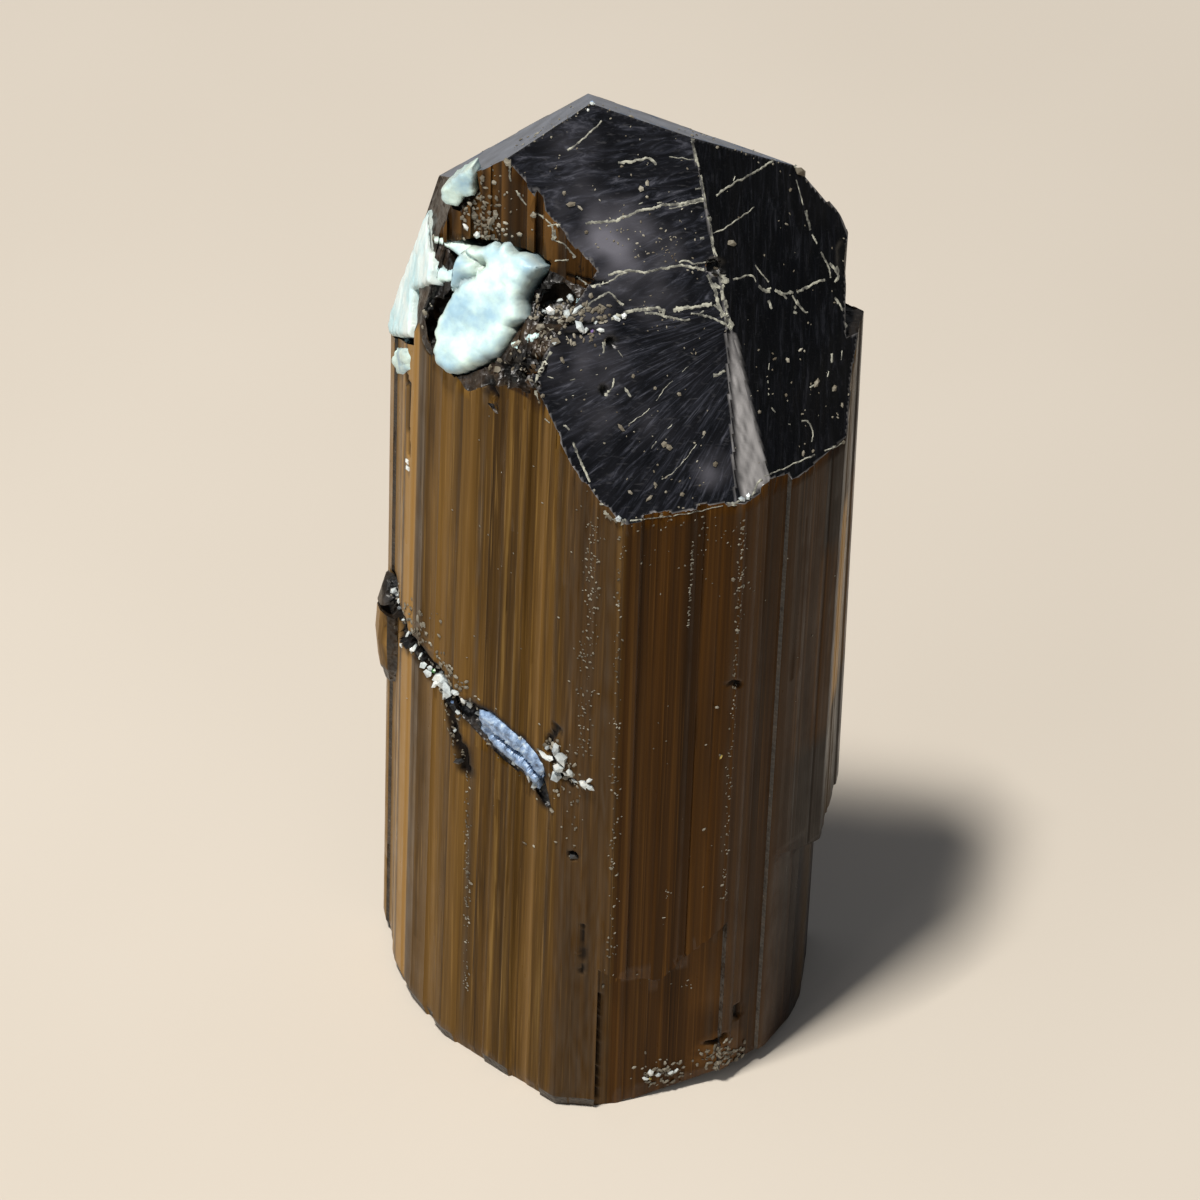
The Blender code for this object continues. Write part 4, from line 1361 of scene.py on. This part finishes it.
SCRAP_PIXELS = [
    [(523, 340), (529, 333), (539, 332), (539, 338), (531, 343)],
    [(509, 342), (518, 339), (520, 346), (512, 349)], [(404, 337), (413, 336), (411, 344), (404, 343)],
    [(575, 297), (582, 298), (580, 303), (574, 302)],
]
STRIP_PIXELS = [
    (478, 711), (489, 712), (500, 721), (512, 731), (524, 741), (535, 752), (542, 764), (545, 778),
    (540, 790), (533, 785), (524, 773), (513, 762), (500, 752), (489, 741), (480, 728),
]


def sheet_piece(name, material, tree, outlines, height, seed, rough, cell=2.2, rounding=4.0):
    """One or more thin crusts on the surface, as one piece."""
    work = bmesh.new()
    for k, pixels in enumerate(outlines):
        draped(work, tree, pixels, height, cell, rounding, rough, seed + k)
    return finish_mesh(work, name, [material])


def ribbons_piece(tree):
    """All veins as one piece."""
    work = bmesh.new()
    for order, (pixels, half_width, gaps) in enumerate(VEINS):
        ribbon(work, tree, pixels, VEIN_SWELL * half_width, order * 1.7, gaps)
    return finish_mesh(work, "veins", [vein_material()])


def crumbs_at(work, tree, spots, draw, flatten):
    """Add a grain at each of some pixels."""
    for x, y, size in spots:
        place, normal = cast(tree, (x, y))
        if place:
            crumb(work, place, normal, size, draw, flatten)


def dust_piece(tree):
    """All dust and crumbs as one piece."""
    draw = random.Random(5)
    work = bmesh.new()
    for start, end, spread, count, size in DUST_LINES:
        for k in range(count):
            share = draw.random()
            pixel = (start[0] + (end[0] - start[0]) * share + draw.gauss(0, spread),
                     start[1] + (end[1] - start[1]) * share + draw.gauss(0, min(spread, MOST_DUST_SPREAD)))
            place, normal = cast(tree, pixel)
            if place:
                crumb(work, place, normal, size * draw.uniform(0.4, 1.25), draw, DUST_FLATNESS)
    crumbs_at(work, tree, DUST_SPOTS, draw, DUST_FLATNESS)
    return finish_mesh(work, "dust", [dust_material()])


def clear_piece(tree):
    """Clear bright grains in the crack and around the pale mineral."""
    work = bmesh.new()
    crumbs_at(work, tree, CLEAR_SPOTS, random.Random(7), GRAIN_FLATNESS)
    return finish_mesh(work, "clear_grains", [glint_material()])


def coloured_grains(tree):
    """The few grains of a colour of their own."""
    draw = random.Random(9)
    for name, colour, spots in COLOURED_GRAINS:
        work = bmesh.new()
        crumbs_at(work, tree, spots, draw, GRAIN_FLATNESS)
        riding(finish_mesh(work, name, [plain_material(name, colour)]))


def build():
    """Place every piece."""
    tree = solid_tree("tourmaline_crystal")
    filled = solid_tree("tourmaline_crystal", "crack_filling")
    crystal, surface = crystal_piece(tree)
    riding(crystal, "tourmaline_crystal")
    pale = feldspar_material("feldspar", (0.36, 0.56, 0.68), (0.74, 0.94, 0.86))
    # A brighter copy of the pale mineral: painted light on the steep band of the left shoulder
    white = feldspar_material("feldspar_lit_copy", (0.55, 0.82, 0.88), (0.84, 0.98, 0.97))
    riding(pale_mass("feldspar_lump", pale, BLOB_PIXELS, LEDGE_FACE, 0.8, 1.1, 0.7, 0.15, 0.09, 1.0,
                     BLOB_HOLES),
           "feldspar_blob")
    riding(pale_mass("feldspar_band", white, BAND_PIXELS, LEFT_SHOULDER, 0.22, 0.7, 0.35, 0.17, 0.07, 2.0),
           "feldspar_shoulder")
    riding(pale_mass("feldspar_corner", pale, CHIP_PIXELS, SET_BACK_WALL, 0.16, 0.8, 0.25, 0.15, 0.05, 3.0),
           "feldspar_chip")
    riding(pale_mass("feldspar_bridge", pale, BRIDGE_PIXELS, LEDGE_FACE, 0.3, 1.2, 0.3, 0.15, 0.1, 4.0))
    riding(sheet_piece("feldspar_patches", pale, surface, [PATCH_PIXELS, *SCRAP_PIXELS], 0.16, 6.0, 0.06))
    riding(sheet_piece("crack_strip", filling_material(), filled, [STRIP_PIXELS], 0.2, 8.0, 0.1, 1.6),
           "crack_filling")
    riding(ribbons_piece(surface))
    riding(dust_piece(surface))
    riding(clear_piece(surface))
    coloured_grains(surface)


# Floor, light and camera

FLOOR_SIZE = 3.0         # metres
SKY_COLOUR = (0.85, 0.9, 1.0, 1.0)
SKY_STRENGTH = 0.16
# Lights: name, direction from the crystal, distance and side in metres, power in watts, colour
LIGHTS = [
    ("key", (-0.19, -0.165, 1.0), 0.6, 0.06, 4.6, (1.0, 0.96, 0.9)),
    ("fill", (-1.0, -0.9, 0.5), 0.7, 0.4, 0.9, (1.0, 1.0, 1.0)),
]
LIT_PLACE = (0.0, 0.0, 0.038)       # metres


def area_light(name, towards, distance, side, power, colour):
    """A soft square light that looks at the middle of the crystal."""
    data = bpy.data.lights.new(name, "AREA")
    data.shape = "SQUARE"
    data.size = side
    data.energy = power
    data.color = colour
    lamp = bpy.data.objects.new(name, data)
    bpy.context.collection.objects.link(lamp)
    direction = Vector(towards).normalized()
    lamp.location = Vector(LIT_PLACE) + direction * distance
    lamp.rotation_euler = direction.to_track_quat("Z", "Y").to_euler()


def studio():
    """Pale floor, soft key from above, weak fill, and the camera."""
    bpy.ops.mesh.primitive_plane_add(size=FLOOR_SIZE)
    floor = bpy.context.object
    floor.name = "floor"
    floor.data.materials.append(floor_material())
    world = bpy.data.worlds.new("studio")
    world.use_nodes = True
    sky = world.node_tree.nodes["Background"]
    sky.inputs["Color"].default_value = SKY_COLOUR
    sky.inputs["Strength"].default_value = SKY_STRENGTH
    bpy.context.scene.world = world
    for light in LIGHTS:
        area_light(*light)
    data = bpy.data.cameras.new("camera")
    data.lens = LENS
    data.sensor_width = SENSOR
    data.clip_start = 0.01
    data.clip_end = 10.0
    camera = bpy.data.objects.new("camera", data)
    bpy.context.collection.objects.link(camera)
    camera.location = Vector(CAMERA_PLACE) * MM
    camera.rotation_euler = CAMERA.to_euler()
    bpy.context.scene.camera = camera
    bpy.context.scene.view_settings.view_transform = "Standard"
    bpy.context.scene.view_settings.look = "None"


build()
studio()
